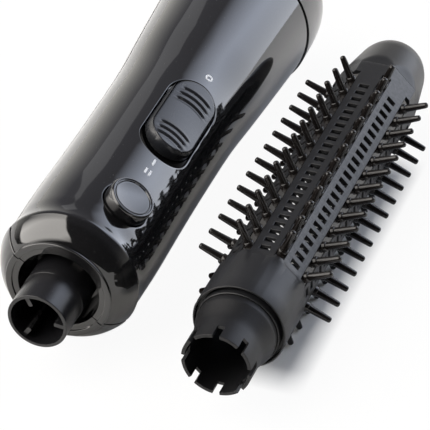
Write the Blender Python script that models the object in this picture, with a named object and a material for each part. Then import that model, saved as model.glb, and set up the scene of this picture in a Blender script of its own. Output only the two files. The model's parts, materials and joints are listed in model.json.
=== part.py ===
"""Hot air brush: a styling handle and its detached round brush, lying side by side on a surface.

The handle's own frame has its origin at the centre of the spigot's mouth, +Y along its axis
towards the rear, +Z out through the controls and +X out through the right-hand parting line.
The brush's own frame has its origin at the end of its crown, +Y along its axis to the tip.
All sizes are in millimetres and become metres when a mesh is made.
"""
import math

import bmesh
import bpy
import numpy as np
from mathutils import Matrix

MM = 0.001
GAP = 0.3                      # clearance between neighbouring pieces

# Handle casing, as (station behind the spigot's mouth, radius)
COLLAR_FACE = 15.0
SOCKET_RADIUS = 12.55
SOCKET_END = 30.5
NOSE_OUTLINE = [(15.0, 16.1), (15.4, 16.5), (16.0, 16.9), (18.0, 18.75), (20.5, 20.4)]
CREASE = (23.5, 21.7)
BODY_OUTLINE = [(25.0, 21.55), (40.0, 21.6), (62.0, 21.45), (90.0, 21.5), (110.0, 21.8),
                (130.0, 23.4), (150.0, 24.6), (168.0, 25.7)]
SHELL_WALL = 2.0
WALL_MIDDLE = 20.6             # radius of the middle of the wall beside the screws
CAP_START = (168.3, 26.2)      # rear inlet cap: where it meets the shells
CAP_END = 193.0
GLAND_END = 199.0
PARTING_ANGLE = math.radians(0.7)
SHELL_SEGMENTS = 14            # facets round each half shell

# Spigot that the brush slides over
SPIGOT_RADIUS = 9.13
SPIGOT_BORE = 8.1
SPIGOT_END = 44.0

# Controls
BUTTON_STATION = 38.9
BUTTON_RADIUS = 7.1
BUTTON_TOP = 25.3
BUTTON_STROKE = 1.6
RECESS_START, RECESS_END = 63.6, 103.2
RECESS_WIDTH = 17.4
RECESS_FLOOR = 17.9
SLIDER_LENGTH = 34.3
SLIDER_TOP = 24.0
SLIDER_TRAVEL = 4.0
STEM_START, STEM_END = 80.7, 90.7      # of the slider's stem, in its rear position
LATCH_PIVOT = (27.0, 15.9)     # station and height of the latch pin

# Brush
BRUSH_SPACING = 54.0           # from the handle's front end to the brush's
BARREL_RADIUS = 14.0
BARREL_BORE = 12.0
BARREL_START, BARREL_END = 18.4, 148.6
BRISTLE_ROWS = 8
BRISTLES_PER_ROW = 13
BRISTLE_START = 40.8
BRISTLE_PITCH = 8.0
BRISTLE_TIP_RADIUS = 22.05     # from the brush's axis to a bristle's tip
BRISTLE_BASE, BRISTLE_END = 1.2, 0.93
CHANNEL_HALF_WIDTH = 1.7
CHANNEL_FLOOR = 12.65
VENTS_PER_ROW = 24
VENT_START = 39.5
VENT_PITCH = 4.05
VENT_LENGTH = 2.0
VENT_HALF_ANGLE = math.radians(7.0)
ROW_ANGLE = math.tau / BRISTLE_ROWS
FLAT_RADIUS = BARREL_RADIUS * math.cos(ROW_ANGLE / 2)   # from the axis to the flats that hold the vents

# How the two pieces lie: the brush on its two lowest rows, the handle on nose and rear cap,
# rolled so that its controls lean towards the brush and a little askew
HANDLE_ROLL = math.radians(36.0)
HANDLE_YAW = math.radians(0.7)
HANDLE_TILT = math.atan2(CAP_START[1] - CREASE[1], CAP_START[0] - CREASE[0])
HANDLE_HEIGHT = CREASE[1] * math.cos(HANDLE_TILT) - CREASE[0] * math.sin(HANDLE_TILT)
BRUSH_HEIGHT = BRISTLE_TIP_RADIUS * math.cos(ROW_ANGLE / 2)
CAP_SHIFT = CAP_START[0] * math.sin(HANDLE_YAW)        # how far the rear cap lies beside the front end
HANDLE_X = (CAP_START[1] + CAP_SHIFT - BRUSH_SPACING - BRUSH_HEIGHT) / 2
BRUSH_X = HANDLE_X + BRUSH_SPACING
FRONT_Y = -GLAND_END / 2

FINISHES = {                   # base colour, roughness, metallic
    "piano_black": ((0.012, 0.012, 0.014), 0.08, 0.0),
    "satin_black": ((0.03, 0.032, 0.036), 0.42, 0.0),
    "charcoal": ((0.045, 0.05, 0.058), 0.45, 0.0),
    "bristle_black": ((0.02, 0.015, 0.014), 0.2, 0.0),
    "slider_grey": ((0.2, 0.2, 0.21), 0.35, 0.0),
    "steel": ((0.55, 0.55, 0.56), 0.35, 1.0),
    "copper": ((0.72, 0.4, 0.25), 0.35, 1.0),
    "nichrome": ((0.4, 0.37, 0.33), 0.4, 1.0),
    "mica": ((0.55, 0.48, 0.34), 0.6, 0.0),
    "circuit_board": ((0.05, 0.2, 0.08), 0.5, 0.0),
    "pale_nylon": ((0.75, 0.74, 0.7), 0.5, 0.0),
    "foam": ((0.08, 0.08, 0.085), 0.95, 0.0),
    "red_lead": ((0.5, 0.05, 0.04), 0.5, 0.0),
    "blue_lead": ((0.04, 0.1, 0.45), 0.5, 0.0),
}


# ---------------------------------------------------------------- mesh tools

def ring_point(radius, station, angle):
    """A point at an angle about +Y, measured from +X towards +Z."""
    return (radius * math.cos(angle), station, radius * math.sin(angle))


def revolve(outline, segments, start=0.0, sweep=math.tau):
    """Turn a closed outline of (station, radius) about +Y; a zero radius makes a pole."""
    mesh = bmesh.new()
    whole = abs(sweep - math.tau) < 1e-6
    count = segments if whole else segments + 1
    rings = []
    for station, radius in outline:
        if radius == 0.0:
            rings.append([mesh.verts.new((0.0, station, 0.0))] * count)
        else:
            angles = [start + sweep * step / segments for step in range(count)]
            rings.append([mesh.verts.new(ring_point(radius, station, angle)) for angle in angles])
    for index, ring in enumerate(rings):
        following = rings[(index + 1) % len(rings)]
        if ring[0] is ring[-1] and following[0] is following[-1]:
            continue
        for step in range(segments):
            nxt = (step + 1) % count
            corners = [ring[step], ring[nxt], following[nxt], following[step]]
            mesh.faces.new(list(dict.fromkeys(corners)))
    if not whole:
        mesh.faces.new([ring[0] for ring in rings])
        mesh.faces.new([ring[-1] for ring in reversed(rings)])
    return finish_mesh(mesh)


def prism(outline, low, high, axis):
    """Extrude a closed flat outline between low and high along X, Y or Z.

    The outline holds (y, z) for X, (x, z) for Y and (x, y) for Z.
    """
    place = {
        "X": lambda a, b, depth: (depth, a, b),
        "Y": lambda a, b, depth: (a, depth, b),
        "Z": lambda a, b, depth: (a, b, depth),
    }[axis]
    mesh = bmesh.new()
    bottom = [mesh.verts.new(place(a, b, low)) for a, b in outline]
    top = [mesh.verts.new(place(a, b, high)) for a, b in outline]
    mesh.faces.new(bottom)
    mesh.faces.new(list(reversed(top)))
    for index in range(len(outline)):
        nxt = (index + 1) % len(outline)
        mesh.faces.new((bottom[index], top[index], top[nxt], bottom[nxt]))
    return finish_mesh(mesh)


def box(x_range, y_range, z_range):
    """A plain box between the given pairs of limits."""
    (x0, x1), (y0, y1) = x_range, y_range
    return prism([(x0, y0), (x1, y0), (x1, y1), (x0, y1)], *z_range, "Z")


def disc(radius, sides):
    """The corners of a regular polygon about the origin."""
    return [(radius * math.cos(math.tau * i / sides), radius * math.sin(math.tau * i / sides))
            for i in range(sides)]


def rod(radius, centre, low, high, axis, sides=12):
    """A round rod along X, Y or Z, centred on the other two coordinates."""
    outline = [(a + centre[0], b + centre[1]) for a, b in disc(radius, sides)]
    return prism(outline, low, high, axis)


def boss(radius, place, low, seat):
    """An upright rod whose far end follows the middle of the shell's wall."""
    mesh = rod(radius, place, low, seat, "Z")
    for corner in mesh.verts:
        if corner.co.z == seat:
            corner.co.z = math.copysign(math.sqrt(WALL_MIDDLE ** 2 - corner.co.x ** 2), seat)
    return mesh


def pill(half_width, y_start, y_end, arc_steps=8):
    """The outline, in x and y, of a slot with half-round ends."""
    points = []
    for centre, turn in ((y_end - half_width, 0.0), (y_start + half_width, math.pi)):
        for step in range(arc_steps + 1):
            angle = turn + math.pi * step / arc_steps
            points.append((half_width * math.cos(angle), centre + half_width * math.sin(angle)))
    return points


def tube_along(path, radius, sides):
    """Carry a round section along a path, turning it no more than the path needs."""
    path = np.asarray(path, dtype=float)
    tangents = np.gradient(path, axis=0)
    tangents /= np.linalg.norm(tangents, axis=1)[:, None]
    side = np.cross(tangents[0], (0.31, 0.52, 0.79))
    mesh = bmesh.new()
    rings = []
    for point, tangent in zip(path, tangents):
        side = side - tangent * side.dot(tangent)
        side /= np.linalg.norm(side)
        up = np.cross(tangent, side)
        ring = [mesh.verts.new(point + radius * (a * side + b * up)) for a, b in disc(1.0, sides)]
        rings.append(ring)
    for ring, following in zip(rings, rings[1:]):
        for index in range(sides):
            nxt = (index + 1) % sides
            mesh.faces.new((ring[index], ring[nxt], following[nxt], following[index]))
    mesh.faces.new(rings[0])
    mesh.faces.new(list(reversed(rings[-1])))
    return finish_mesh(mesh)


def helix(radius, low, high, turns, steps_per_turn):
    """Points of a helix about +Y."""
    angle = np.linspace(0.0, math.tau * turns, turns * steps_per_turn + 1)
    return np.stack([radius * np.cos(angle), np.linspace(low, high, len(angle)),
                     radius * np.sin(angle)], axis=1)


def finish_mesh(mesh):
    """Point a closed mesh's faces outwards."""
    bmesh.ops.recalc_face_normals(mesh, faces=mesh.faces)
    return mesh


def join(meshes):
    """Put several meshes into one, as separate bodies."""
    joined = bmesh.new()
    for mesh in meshes:
        part = bpy.data.meshes.new("joining")
        mesh.to_mesh(part)
        mesh.free()
        joined.from_mesh(part)
        bpy.data.meshes.remove(part)
    return joined


def around(make, count, first_angle=0.0):
    """Copies of a mesh turned evenly about +Y."""
    copies = []
    for index in range(count):
        mesh = make()
        turn = Matrix.Rotation(first_angle + math.tau * index / count, 4, "Y")
        bmesh.ops.transform(mesh, matrix=turn, verts=mesh.verts)
        copies.append(mesh)
    return copies


# ---------------------------------------------------------------- objects

def add_empty(name, parent=None, location=(0, 0, 0), rotation=(0, 0, 0)):
    """An empty that carries pieces; its place is in millimetres."""
    empty = bpy.data.objects.new(name, None)
    empty.empty_display_size = 0.01
    empty.location = [value * MM for value in location]
    empty.rotation_euler = rotation
    empty.parent = parent
    bpy.context.collection.objects.link(empty)
    return empty


def add_object(name, mesh, parent):
    """An object from a mesh in millimetres."""
    bmesh.ops.scale(mesh, vec=(MM, MM, MM), verts=mesh.verts)
    data = bpy.data.meshes.new(name)
    mesh.to_mesh(data)
    mesh.free()
    part = bpy.data.objects.new(name, data)
    part.parent = parent
    bpy.context.collection.objects.link(part)
    return part


def add_part(name, mesh, finish, parent):
    """A finished piece with its own material, shaded smooth except at its edges."""
    part = add_object(name, mesh, parent)
    part.data.shade_smooth()
    part.data.set_sharp_from_angle(angle=math.radians(35))
    colour, roughness, metallic = FINISHES[finish]
    material = bpy.data.materials.new(name)
    material.use_nodes = True
    shader = material.node_tree.nodes["Principled BSDF"]
    shader.inputs["Base Color"].default_value = (*colour, 1.0)
    shader.inputs["Roughness"].default_value = roughness
    shader.inputs["Metallic"].default_value = metallic
    part.data.materials.append(material)
    return part


def combine(part, meshes, operation, label, crossing=False):
    """Join material to a piece (UNION) or cut it away (DIFFERENCE); crossing if the meshes overlap."""
    helper = add_object(part.name + "_" + label, join(meshes), part.parent)
    helper.hide_render = True
    helper.display_type = "WIRE"
    modifier = part.modifiers.new(label, "BOOLEAN")
    modifier.operation = operation
    modifier.solver = "EXACT"
    modifier.use_self = crossing
    modifier.object = helper


# ---------------------------------------------------------------- handle casing

SCREW_PLACES = [(side * 15.0, station) for station in (50.0, 95.0) for side in (-1, 1)]
SCREW_HEAD = (-10.6, -9.1)     # heights of the screw head's two faces
SCREW_TOP = 6.0


def shell_outline():
    """Cross-section of a half shell: skin, collar face and the socket wall behind it."""
    outer = [(COLLAR_FACE, SOCKET_RADIUS)] + NOSE_OUTLINE + [CREASE] + BODY_OUTLINE
    inner = [(station, radius - SHELL_WALL) for station, radius in reversed(BODY_OUTLINE)]
    nose_cavity = [(20.5, 18.2), (17.2, 15.4), (17.2, 14.05)]
    socket = [(32.0, 14.05), (32.0, 9.45), (SOCKET_END, 9.45), (SOCKET_END, SOCKET_RADIUS)]
    return outer + inner + nose_cavity + socket


def half_shell(start):
    """A half shell over half a turn from start, less the parting gap."""
    return revolve(shell_outline(), SHELL_SEGMENTS, start + PARTING_ANGLE, math.pi - 2 * PARTING_ANGLE)


def make_upper_shell(handle):
    """Half shell with the slider's recess, the button's hole, latch lugs and screw bosses."""
    shell = add_part("upper_shell", half_shell(0.0), "piano_black", handle)
    pad = box((-9.8, 9.8), (RECESS_START - 1.4, RECESS_END + 1.4), (16.4, 18.5))
    bosses = [boss(3.4, place, 0.4, 13.0) for place in SCREW_PLACES]
    lugs = [box((side * 6 - 1, side * 6 + 1), (25.2, 28.8), (14.4, 19.4)) for side in (-1, 1)]
    combine(shell, [pad] + bosses + lugs, "UNION", "ribs")
    cuts = [prism(pill(RECESS_WIDTH / 2, RECESS_START, RECESS_END), RECESS_FLOOR, 27.0, "Z")]
    cuts.append(box((-2.5, 2.5), (STEM_START - SLIDER_TRAVEL - 0.4, STEM_END + 0.4), (15.0, RECESS_FLOOR + 0.5)))
    cuts.append(rod(BUTTON_RADIUS + GAP, (0.0, BUTTON_STATION), 17.0, 27.0, "Z", 28))
    cuts.append(box((-3.1, 3.1), (19.9, 23.3), (9.0, 14.2)))
    cuts.append(rod(1.0, LATCH_PIVOT, -7.5, 7.5, "X", 10))
    cuts += [rod(1.6, place, -1.0, 8.0, "Z") for place in SCREW_PLACES]
    combine(shell, cuts, "DIFFERENCE", "openings", crossing=True)


def make_lower_shell(handle):
    """Half shell with the sunk screw holes."""
    shell = add_part("lower_shell", half_shell(math.pi), "piano_black", handle)
    bosses = [boss(3.6, place, -0.4, -13.0) for place in SCREW_PLACES]
    combine(shell, bosses, "UNION", "bosses")
    cuts = [rod(1.6, place, -12.0, 1.0, "Z") for place in SCREW_PLACES]
    cuts += [rod(2.9, place, -24.0, SCREW_HEAD[1] + GAP, "Z") for place in SCREW_PLACES]
    combine(shell, cuts, "DIFFERENCE", "screw_holes", crossing=True)


def make_shell_screws(handle):
    """Four screws that draw the shells together."""
    for number, place in enumerate(SCREW_PLACES, start=1):
        screw = add_part(f"shell_screw_{number}", rod(1.3, place, SCREW_HEAD[1] - 0.5, SCREW_TOP, "Z"),
                         "steel", handle)
        combine(screw, [rod(2.5, place, *SCREW_HEAD, "Z", 16)], "UNION", "head")


def make_spigot(handle):
    """Thin tube with a flange behind the socket and three ribs along its bore."""
    outline = [(0.0, SPIGOT_BORE), (0.0, SPIGOT_RADIUS - 0.3), (0.4, SPIGOT_RADIUS),
               (32.3, SPIGOT_RADIUS), (32.3, 13.0), (34.3, 13.0), (34.3, SPIGOT_RADIUS),
               (SPIGOT_END, SPIGOT_RADIUS), (SPIGOT_END, SPIGOT_BORE)]
    spigot = add_part("spigot_tube", revolve(outline, 28), "satin_black", handle)
    ribs = around(lambda: box((4.8, SPIGOT_BORE + 0.4), (1.2, 30.0), (-0.6, 0.6)), 3, math.radians(-30))
    combine(spigot, ribs, "UNION", "ribs")


def make_inlet_cap(handle):
    """Rear cap with a tongue inside the shells and a ring of radial air slots."""
    start, radius = CAP_START
    outline = [(start, radius), (180.0, 26.1), (186.0, 25.6), (189.6, 23.8), (191.8, 20.2),
               (192.8, 14.0), (CAP_END, 6.4), (191.2, 6.4), (191.0, 14.0), (190.2, 18.8),
               (188.0, 21.8), (185.0, 22.9), (163.0, 22.2), (163.0, 22.9), (start, 22.9)]
    cap = add_part("inlet_cap", revolve(outline, 28), "piano_black", handle)
    slots = around(lambda: box((10.0, 19.4), (187.0, 195.0), (-1.2, 1.2)), 14, math.radians(5))
    combine(cap, slots, "DIFFERENCE", "air_slots")
    filter_ring = [(181.0, 9.0), (181.0, 21.9), (183.5, 21.9), (183.5, 9.0)]
    add_part("dust_filter", revolve(filter_ring, 24), "foam", handle)


def make_cord_gland(handle):
    """Swivelling gland in the middle of the cap, and the clip that keeps it there."""
    outline = [(184.0, 3.3), (184.0, 5.9), (193.3, 5.9), (193.3, 7.8), (195.0, 7.8),
               (GLAND_END, 5.6), (GLAND_END, 3.3)]
    add_part("cord_gland", revolve(outline, 24), "satin_black", handle)
    clip = [(189.0, 6.2), (189.0, 8.5), (190.5, 8.5), (190.5, 6.2)]
    add_part("gland_clip", revolve(clip, 20), "pale_nylon", handle)


# ---------------------------------------------------------------- controls

def make_release_button(handle):
    """Round cap with a dished face, a centre stem and two ears under the shell."""
    dish = [(17.9, 0.0), (17.9, BUTTON_RADIUS), (BUTTON_TOP - 0.5, BUTTON_RADIUS),
            (BUTTON_TOP, BUTTON_RADIUS - 0.5), (BUTTON_TOP, 5.9), (BUTTON_TOP - 0.5, 5.4),
            (BUTTON_TOP - 0.9, 3.0), (BUTTON_TOP - 1.0, 0.0)]
    mesh = revolve(dish, 28)
    upright = Matrix.Translation((0, BUTTON_STATION, 0)) @ Matrix.Rotation(math.pi / 2, 4, "X")
    bmesh.ops.transform(mesh, matrix=upright, verts=mesh.verts)
    button = add_part("release_button", mesh, "piano_black", handle)
    station = (BUTTON_STATION - 2.5, BUTTON_STATION + 2.5)
    hook = [(4.8, 16.8), (8.2, 16.8), (8.2, 17.4), (6.8, 17.4), (6.8, 18.2), (4.8, 18.2)]
    ears = [prism([(side * x, z) for x, z in hook], *station, "Y") for side in (-1, 1)]
    stem = rod(1.8, (0.0, BUTTON_STATION), 16.5, 18.4, "Z")
    combine(button, ears + [stem], "UNION", "stem_and_ears")


def make_release_latch(handle):
    """Rocking latch: the button presses its rear arm and its hook lifts off the crown."""
    pivot_station, pivot_height = LATCH_PIVOT
    pivot = add_empty("latch_axis", handle, (0.0, pivot_station, pivot_height))
    side_view = [(20.6, 10.1), (22.0, 10.1), (22.6, 11.0), (22.6, 15.0), (41.6, 15.0), (41.6, 16.2),
                 (28.6, 16.2), (28.0, 17.5), (26.0, 17.5), (25.4, 16.2), (20.6, 16.2)]
    side_view = [(y - pivot_station, z - pivot_height) for y, z in side_view]
    latch = add_part("release_latch", prism(side_view, -2.5, 2.5, "X"), "pale_nylon", pivot)
    combine(latch, [rod(1.0, (0.0, 0.0), -3.0, 3.0, "X", 10)], "DIFFERENCE", "pin_hole")
    coil = helix(1.4, 2.9, 4.7, 3, 10)[:, [1, 0, 2]]
    add_part("latch_spring", tube_along(coil, 0.22, 5), "steel", pivot)
    add_part("latch_pin", rod(0.7, LATCH_PIVOT, -7.0, 7.0, "X", 10), "steel", handle)


def make_power_slider(handle):
    """Thumb slider in the recess, standing at its rear position, with the stem that drives the switch."""
    rear = RECESS_END - GAP
    front = rear - SLIDER_LENGTH
    half_width = RECESS_WIDTH / 2 - GAP
    base = RECESS_FLOOR + GAP
    outline = pill(half_width, front, rear)
    middle = (front + rear) / 2
    mesh = prism(outline, base, SLIDER_TOP, "Z")
    for corner in mesh.verts:
        if corner.co.z > base + 1.0:
            corner.co.x *= 0.9
            corner.co.y = middle + (corner.co.y - middle) * 0.95
    slider = add_part("power_slider", mesh, "slider_grey", handle)
    combine(slider, [box((-2.2, 2.2), (STEM_START, STEM_END), (14.9, base + 1.0))], "UNION", "stem")
    add_part("switch_lever", box((-1.6, 1.6), (STEM_START + 2.0, STEM_START + 6.0), (12.6, 14.6)), "pale_nylon", handle)


def make_switch(handle):
    """Slide switch on its board, over the heater."""
    middle = (STEM_START + STEM_END) / 2 - 1.0
    switch = add_part("slide_switch", box((-5.5, 5.5), (middle - 11.0, middle + 11.0), (11.6, 14.0)),
                      "satin_black", handle)
    track_end = STEM_START + 6.3
    track = box((-1.9, 1.9), (track_end - SLIDER_TRAVEL - 4.6, track_end), (12.3, 15.0))
    combine(switch, [track], "DIFFERENCE", "track")
    add_part("switch_board", box((-6.5, 6.5), (middle - 15.0, middle + 15.0), (10.5, 11.3)), "circuit_board", handle)


# ---------------------------------------------------------------- air path

HEATER_START, HEATER_END = 46.0, 100.0
BOARD_START, BOARD_END = 48.0, 98.0
MOTOR_START, MOTOR_END = 119.0, 148.0


def make_heater(handle):
    """Mica sleeve, two crossed mica boards, the winding and its two safety cut-outs."""
    sleeve = [(HEATER_START, 9.5), (HEATER_START, 10.0), (HEATER_END, 10.0), (HEATER_END, 9.5)]
    add_part("heater_sleeve", revolve(sleeve, 20), "mica", handle)
    width, slot, middle = 7.2, 0.7, (BOARD_START + BOARD_END) / 2
    rear_slot = [(-width, BOARD_START), (width, BOARD_START), (width, BOARD_END), (slot, BOARD_END),
                 (slot, middle - 0.2), (-slot, middle - 0.2), (-slot, BOARD_END), (-width, BOARD_END)]
    add_part("heater_board_1", prism(rear_slot, -0.4, 0.4, "Z"), "mica", handle)
    front_slot = [(BOARD_START + BOARD_END - y, x) for x, y in rear_slot]
    add_part("heater_board_2", prism(front_slot, -0.4, 0.4, "X"), "mica", handle)
    winding = helix(8.2, 52.0, 94.0, 7, 11)
    add_part("heater_coil", tube_along(winding, 0.4, 4), "nichrome", handle)
    add_part("thermostat", box((1.2, 4.6), (84.0, 93.0), (1.2, 4.6)), "steel", handle)
    add_part("thermal_fuse", rod(1.2, (-3.0, -3.0), 60.0, 72.0, "Y"), "pale_nylon", handle)


def make_air_duct(handle):
    """Duct that carries the fan's air past the motor and down to the heater."""
    outline = [(101.0, 10.2), (101.0, 11.2), (126.0, 18.8), (164.0, 18.8), (164.0, 17.8), (126.3, 17.8)]
    add_part("air_duct", revolve(outline, 24), "satin_black", handle)


def make_motor(handle):
    """Motor can, the vaned mount that holds it in the duct, and its rectifier board."""
    can = [(MOTOR_START, 1.3), (MOTOR_START, 11.6), (MOTOR_START + 0.6, 12.2), (MOTOR_END - 0.6, 12.2),
           (MOTOR_END, 11.6), (MOTOR_END, 3.0), (MOTOR_END + 1.5, 3.0), (MOTOR_END + 1.5, 1.3)]
    add_part("motor_can", revolve(can, 24), "steel", handle)
    hub = [(130.0, 12.6), (130.0, 13.6), (146.0, 13.6), (146.0, 12.6)]
    mount = add_part("motor_mount", revolve(hub, 24), "pale_nylon", handle)
    vanes = around(lambda: box((13.3, 17.3), (131.0, 145.0), (-0.5, 0.5)), 6)
    combine(mount, vanes, "UNION", "vanes")
    board = [(116.0, 2.5), (116.0, 10.5), (117.2, 10.5), (117.2, 2.5)]
    add_part("rectifier_board", revolve(board, 20), "circuit_board", handle)
    for number in range(4):
        angle = math.radians(45 + 90 * number)
        centre = (7.0 * math.cos(angle), 7.0 * math.sin(angle))
        add_part(f"rectifier_diode_{number + 1}", rod(1.3, centre, 110.6, 115.7, "Y", 10),
                 "satin_black", handle)


def make_fan(handle):
    """Motor shaft and the axial fan on it, between the inlet and the motor."""
    add_part("motor_shaft", rod(1.0, (0.0, 0.0), 117.6, 162.0, "Y"), "steel", handle)
    hub = [(152.0, 1.3), (152.0, 7.4), (158.5, 7.4), (160.5, 4.5), (160.5, 1.3)]
    fan = add_part("fan", revolve(hub, 20), "pale_nylon", handle)

    def blade():
        """A thin plate from inside the hub to near the duct, turned to its pitch."""
        mesh = prism([(-3.0, -0.45), (3.0, -0.45), (3.0, 0.45), (-3.0, 0.45)], 6.2, 17.1, "X")
        for corner in mesh.verts:
            pitch = math.radians(48 if corner.co.x < 10 else 30)
            y, z = corner.co.y * (0.75 if corner.co.x < 10 else 1.0), corner.co.z
            corner.co.y = 155.4 + y * math.sin(pitch) - z * math.cos(pitch)
            corner.co.z = y * math.cos(pitch) + z * math.sin(pitch)
        return finish_mesh(mesh)

    combine(fan, around(blade, 9), "UNION", "blades")


def make_leads(handle):
    """Mains leads from the gland, along outside the duct, to the switch board."""
    route = np.array([(1.4, 183.4), (1.7, 179.5), (5.0, 175.0), (12.0, 171.0), (17.6, 168.2),
                      (20.0, 163.5), (20.1, 156.0), (20.1, 142.0), (20.0, 129.0), (18.9, 120.0),
                      (16.9, 112.0), (14.8, 105.5), (13.2, 101.0), (12.9, 97.4)])
    steps = np.linspace(0.0, len(route) - 1, 27)
    radius = np.interp(steps, range(len(route)), route[:, 0])
    station = np.interp(steps, range(len(route)), route[:, 1])
    spread = math.radians(15)
    sideways = np.maximum(radius * math.sin(spread), 1.15)
    for name, side, finish in (("live_lead", 1, "red_lead"), ("neutral_lead", -1, "blue_lead")):
        path = np.stack([side * sideways, station, radius * math.cos(spread)], axis=1)
        add_part(name, tube_along(path, 0.8, 6), finish, handle)


# ---------------------------------------------------------------- brush

def row_point(row, sideways, outward, station):
    """A point given across, and outwards from the axis along, one bristle row."""
    angle = ROW_ANGLE * (row + 0.5)
    return (outward * math.sin(angle) + sideways * math.cos(angle), station,
            outward * math.cos(angle) - sideways * math.sin(angle))


def fan_strip(mesh, edge, column):
    """Fill between an undivided edge of two points and a column of many."""
    half = len(column) // 2
    for index in range(len(column) - 1):
        corner = edge[0] if index < half else edge[1]
        mesh.faces.new((corner, column[index], column[index + 1]))
    mesh.faces.new((edge[0], column[half], edge[1]))


def make_barrel(brush):
    """Eight-sided tube with a channel along each corner and a ladder of vents down each flat."""
    mesh = bmesh.new()
    first = VENT_START + VENT_PITCH * np.arange(VENTS_PER_ROW)
    stations = [BARREL_START, *np.stack([first, first + VENT_LENGTH], 1).ravel(), BARREL_END]
    ends = (BARREL_START, BARREL_END)
    side_angles = (ROW_ANGLE / 2 - VENT_HALF_ANGLE, ROW_ANGLE / 2 + VENT_HALF_ANGLE)
    lip = (FLAT_RADIUS - CHANNEL_HALF_WIDTH * math.sin(ROW_ANGLE / 2)) / math.cos(ROW_ANGLE / 2)
    channel_corners = [(-CHANNEL_HALF_WIDTH, lip), (-CHANNEL_HALF_WIDTH, CHANNEL_FLOOR),
                       (CHANNEL_HALF_WIDTH, CHANNEL_FLOOR), (CHANNEL_HALF_WIDTH, lip)]

    def line(row, sideways, outward, at_stations):
        return [mesh.verts.new(row_point(row, sideways, outward, station)) for station in at_stations]

    units = []
    for row in range(BRISTLE_ROWS):
        unit = {"channel": [line(row, u, v, ends) for u, v in channel_corners]}
        unit["under"] = line(row, 0.0, BARREL_BORE, ends)
        for place, radius in (("outer", FLAT_RADIUS / math.cos(VENT_HALF_ANGLE)), ("inner", BARREL_BORE)):
            unit[place] = [line(row, radius * math.sin(a), radius * math.cos(a), stations)
                           for a in side_angles]
        units.append(unit)

    for row, unit in enumerate(units):
        following = units[(row + 1) % BRISTLE_ROWS]
        for left, right in zip(unit["channel"], unit["channel"][1:]):
            mesh.faces.new((left[0], right[0], right[1], left[1]))
        fan_strip(mesh, unit["channel"][3], unit["outer"][0])
        fan_strip(mesh, following["channel"][0], unit["outer"][1])
        fan_strip(mesh, unit["under"], unit["inner"][0])
        fan_strip(mesh, following["under"], unit["inner"][1])
        for cell in range(len(stations) - 1):
            corners = {place: [(side[cell], side[cell + 1]) for side in unit[place]]
                       for place in ("outer", "inner")}
            (a0, a1), (b0, b1) = corners["outer"]
            (c0, c1), (d0, d1) = corners["inner"]
            if cell % 2 == 0:
                mesh.faces.new((a0, a1, b1, b0))
                mesh.faces.new((c0, c1, d1, d0))
            else:
                for wall in ((a0, a1, c1, c0), (b0, b1, d1, d0), (a0, b0, d0, c0), (a1, b1, d1, c1)):
                    mesh.faces.new(wall)
        for end in (0, -1):
            rim = [side[end] for side in unit["outer"]] + [side[end] for side in following["channel"]]
            rim += [following["outer"][0][end], following["inner"][0][end], following["under"][end],
                    unit["inner"][1][end], unit["inner"][0][end]]
            mesh.faces.new(rim)
    add_part("brush_barrel", finish_mesh(mesh), "charcoal", brush)


def make_bristle_strips(brush):
    """Eight moulded strips, each a thin rail with its bristles standing on it."""
    half_width, bottom, top = CHANNEL_HALF_WIDTH - 0.35, CHANNEL_FLOOR + GAP, 13.5
    stations = [BRISTLE_START + BRISTLE_PITCH * index for index in range(BRISTLES_PER_ROW)]
    breaks = [BARREL_START + 0.5] + [s + BRISTLE_PITCH / 2 for s in stations[:-1]] + [BARREL_END - 0.4]
    hexagon = disc(1.0, 6)
    for row in range(BRISTLE_ROWS):
        mesh = bmesh.new()

        def vertex(sideways, outward, station, row=row, mesh=mesh):
            return mesh.verts.new(row_point(row, sideways, outward, station))

        right = [vertex(half_width, top, breaks[0])]
        left = [vertex(-half_width, top, breaks[0])]
        for index, station in enumerate(stations):
            for column, side in ((right, half_width), (left, -half_width)):
                column.append(vertex(side, top, station))
                column.append(vertex(side, top, breaks[index + 1]))
            border = [right[-2], right[-1], left[-1], left[-2], left[-3], right[-3]]
            foot = [vertex(BRISTLE_BASE * a, top, station + BRISTLE_BASE * b) for a, b in hexagon]
            shoulder = [vertex(BRISTLE_END * a, BRISTLE_TIP_RADIUS - 0.7, station + BRISTLE_END * b)
                        for a, b in hexagon]
            tip = vertex(0.0, BRISTLE_TIP_RADIUS, station)
            for lower, upper in ((border, foot), (foot, shoulder)):
                for k in range(6):
                    nxt = (k + 1) % 6
                    mesh.faces.new((lower[k], lower[nxt], upper[nxt], upper[k]))
            for k in range(6):
                mesh.faces.new((shoulder[k], shoulder[(k + 1) % 6], tip))
        feet = {side: [vertex(side * half_width, bottom, breaks[0]), vertex(side * half_width, bottom, breaks[-1])]
                for side in (-1, 1)}
        fan_strip(mesh, feet[1], right)
        fan_strip(mesh, feet[-1], left)
        mesh.faces.new((feet[1][0], feet[1][1], feet[-1][1], feet[-1][0]))
        mesh.faces.new((feet[1][0], feet[-1][0], left[0], right[0]))
        mesh.faces.new((feet[1][1], feet[-1][1], left[-1], right[-1]))
        add_part(f"bristle_strip_{row + 1}", finish_mesh(mesh), "bristle_black", brush)


def make_connector(brush):
    """Socket end: a notched crown, a neck and a flange, with a plug inside the barrel."""
    outline = [(0.0, 9.4), (0.0, 10.43), (9.5, 10.43), (10.9, 10.8), (15.2, 12.1), (18.1, 12.1),
               (18.1, 11.4), (30.0, 11.4), (30.0, 9.4)]
    connector = add_part("brush_connector", revolve(outline, 24), "satin_black", brush)
    notches = around(lambda: box((8.5, 11.5), (-1.0, 4.5), (-1.05, 1.05)), BRISTLE_ROWS)
    combine(connector, notches, "DIFFERENCE", "notches")


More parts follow.
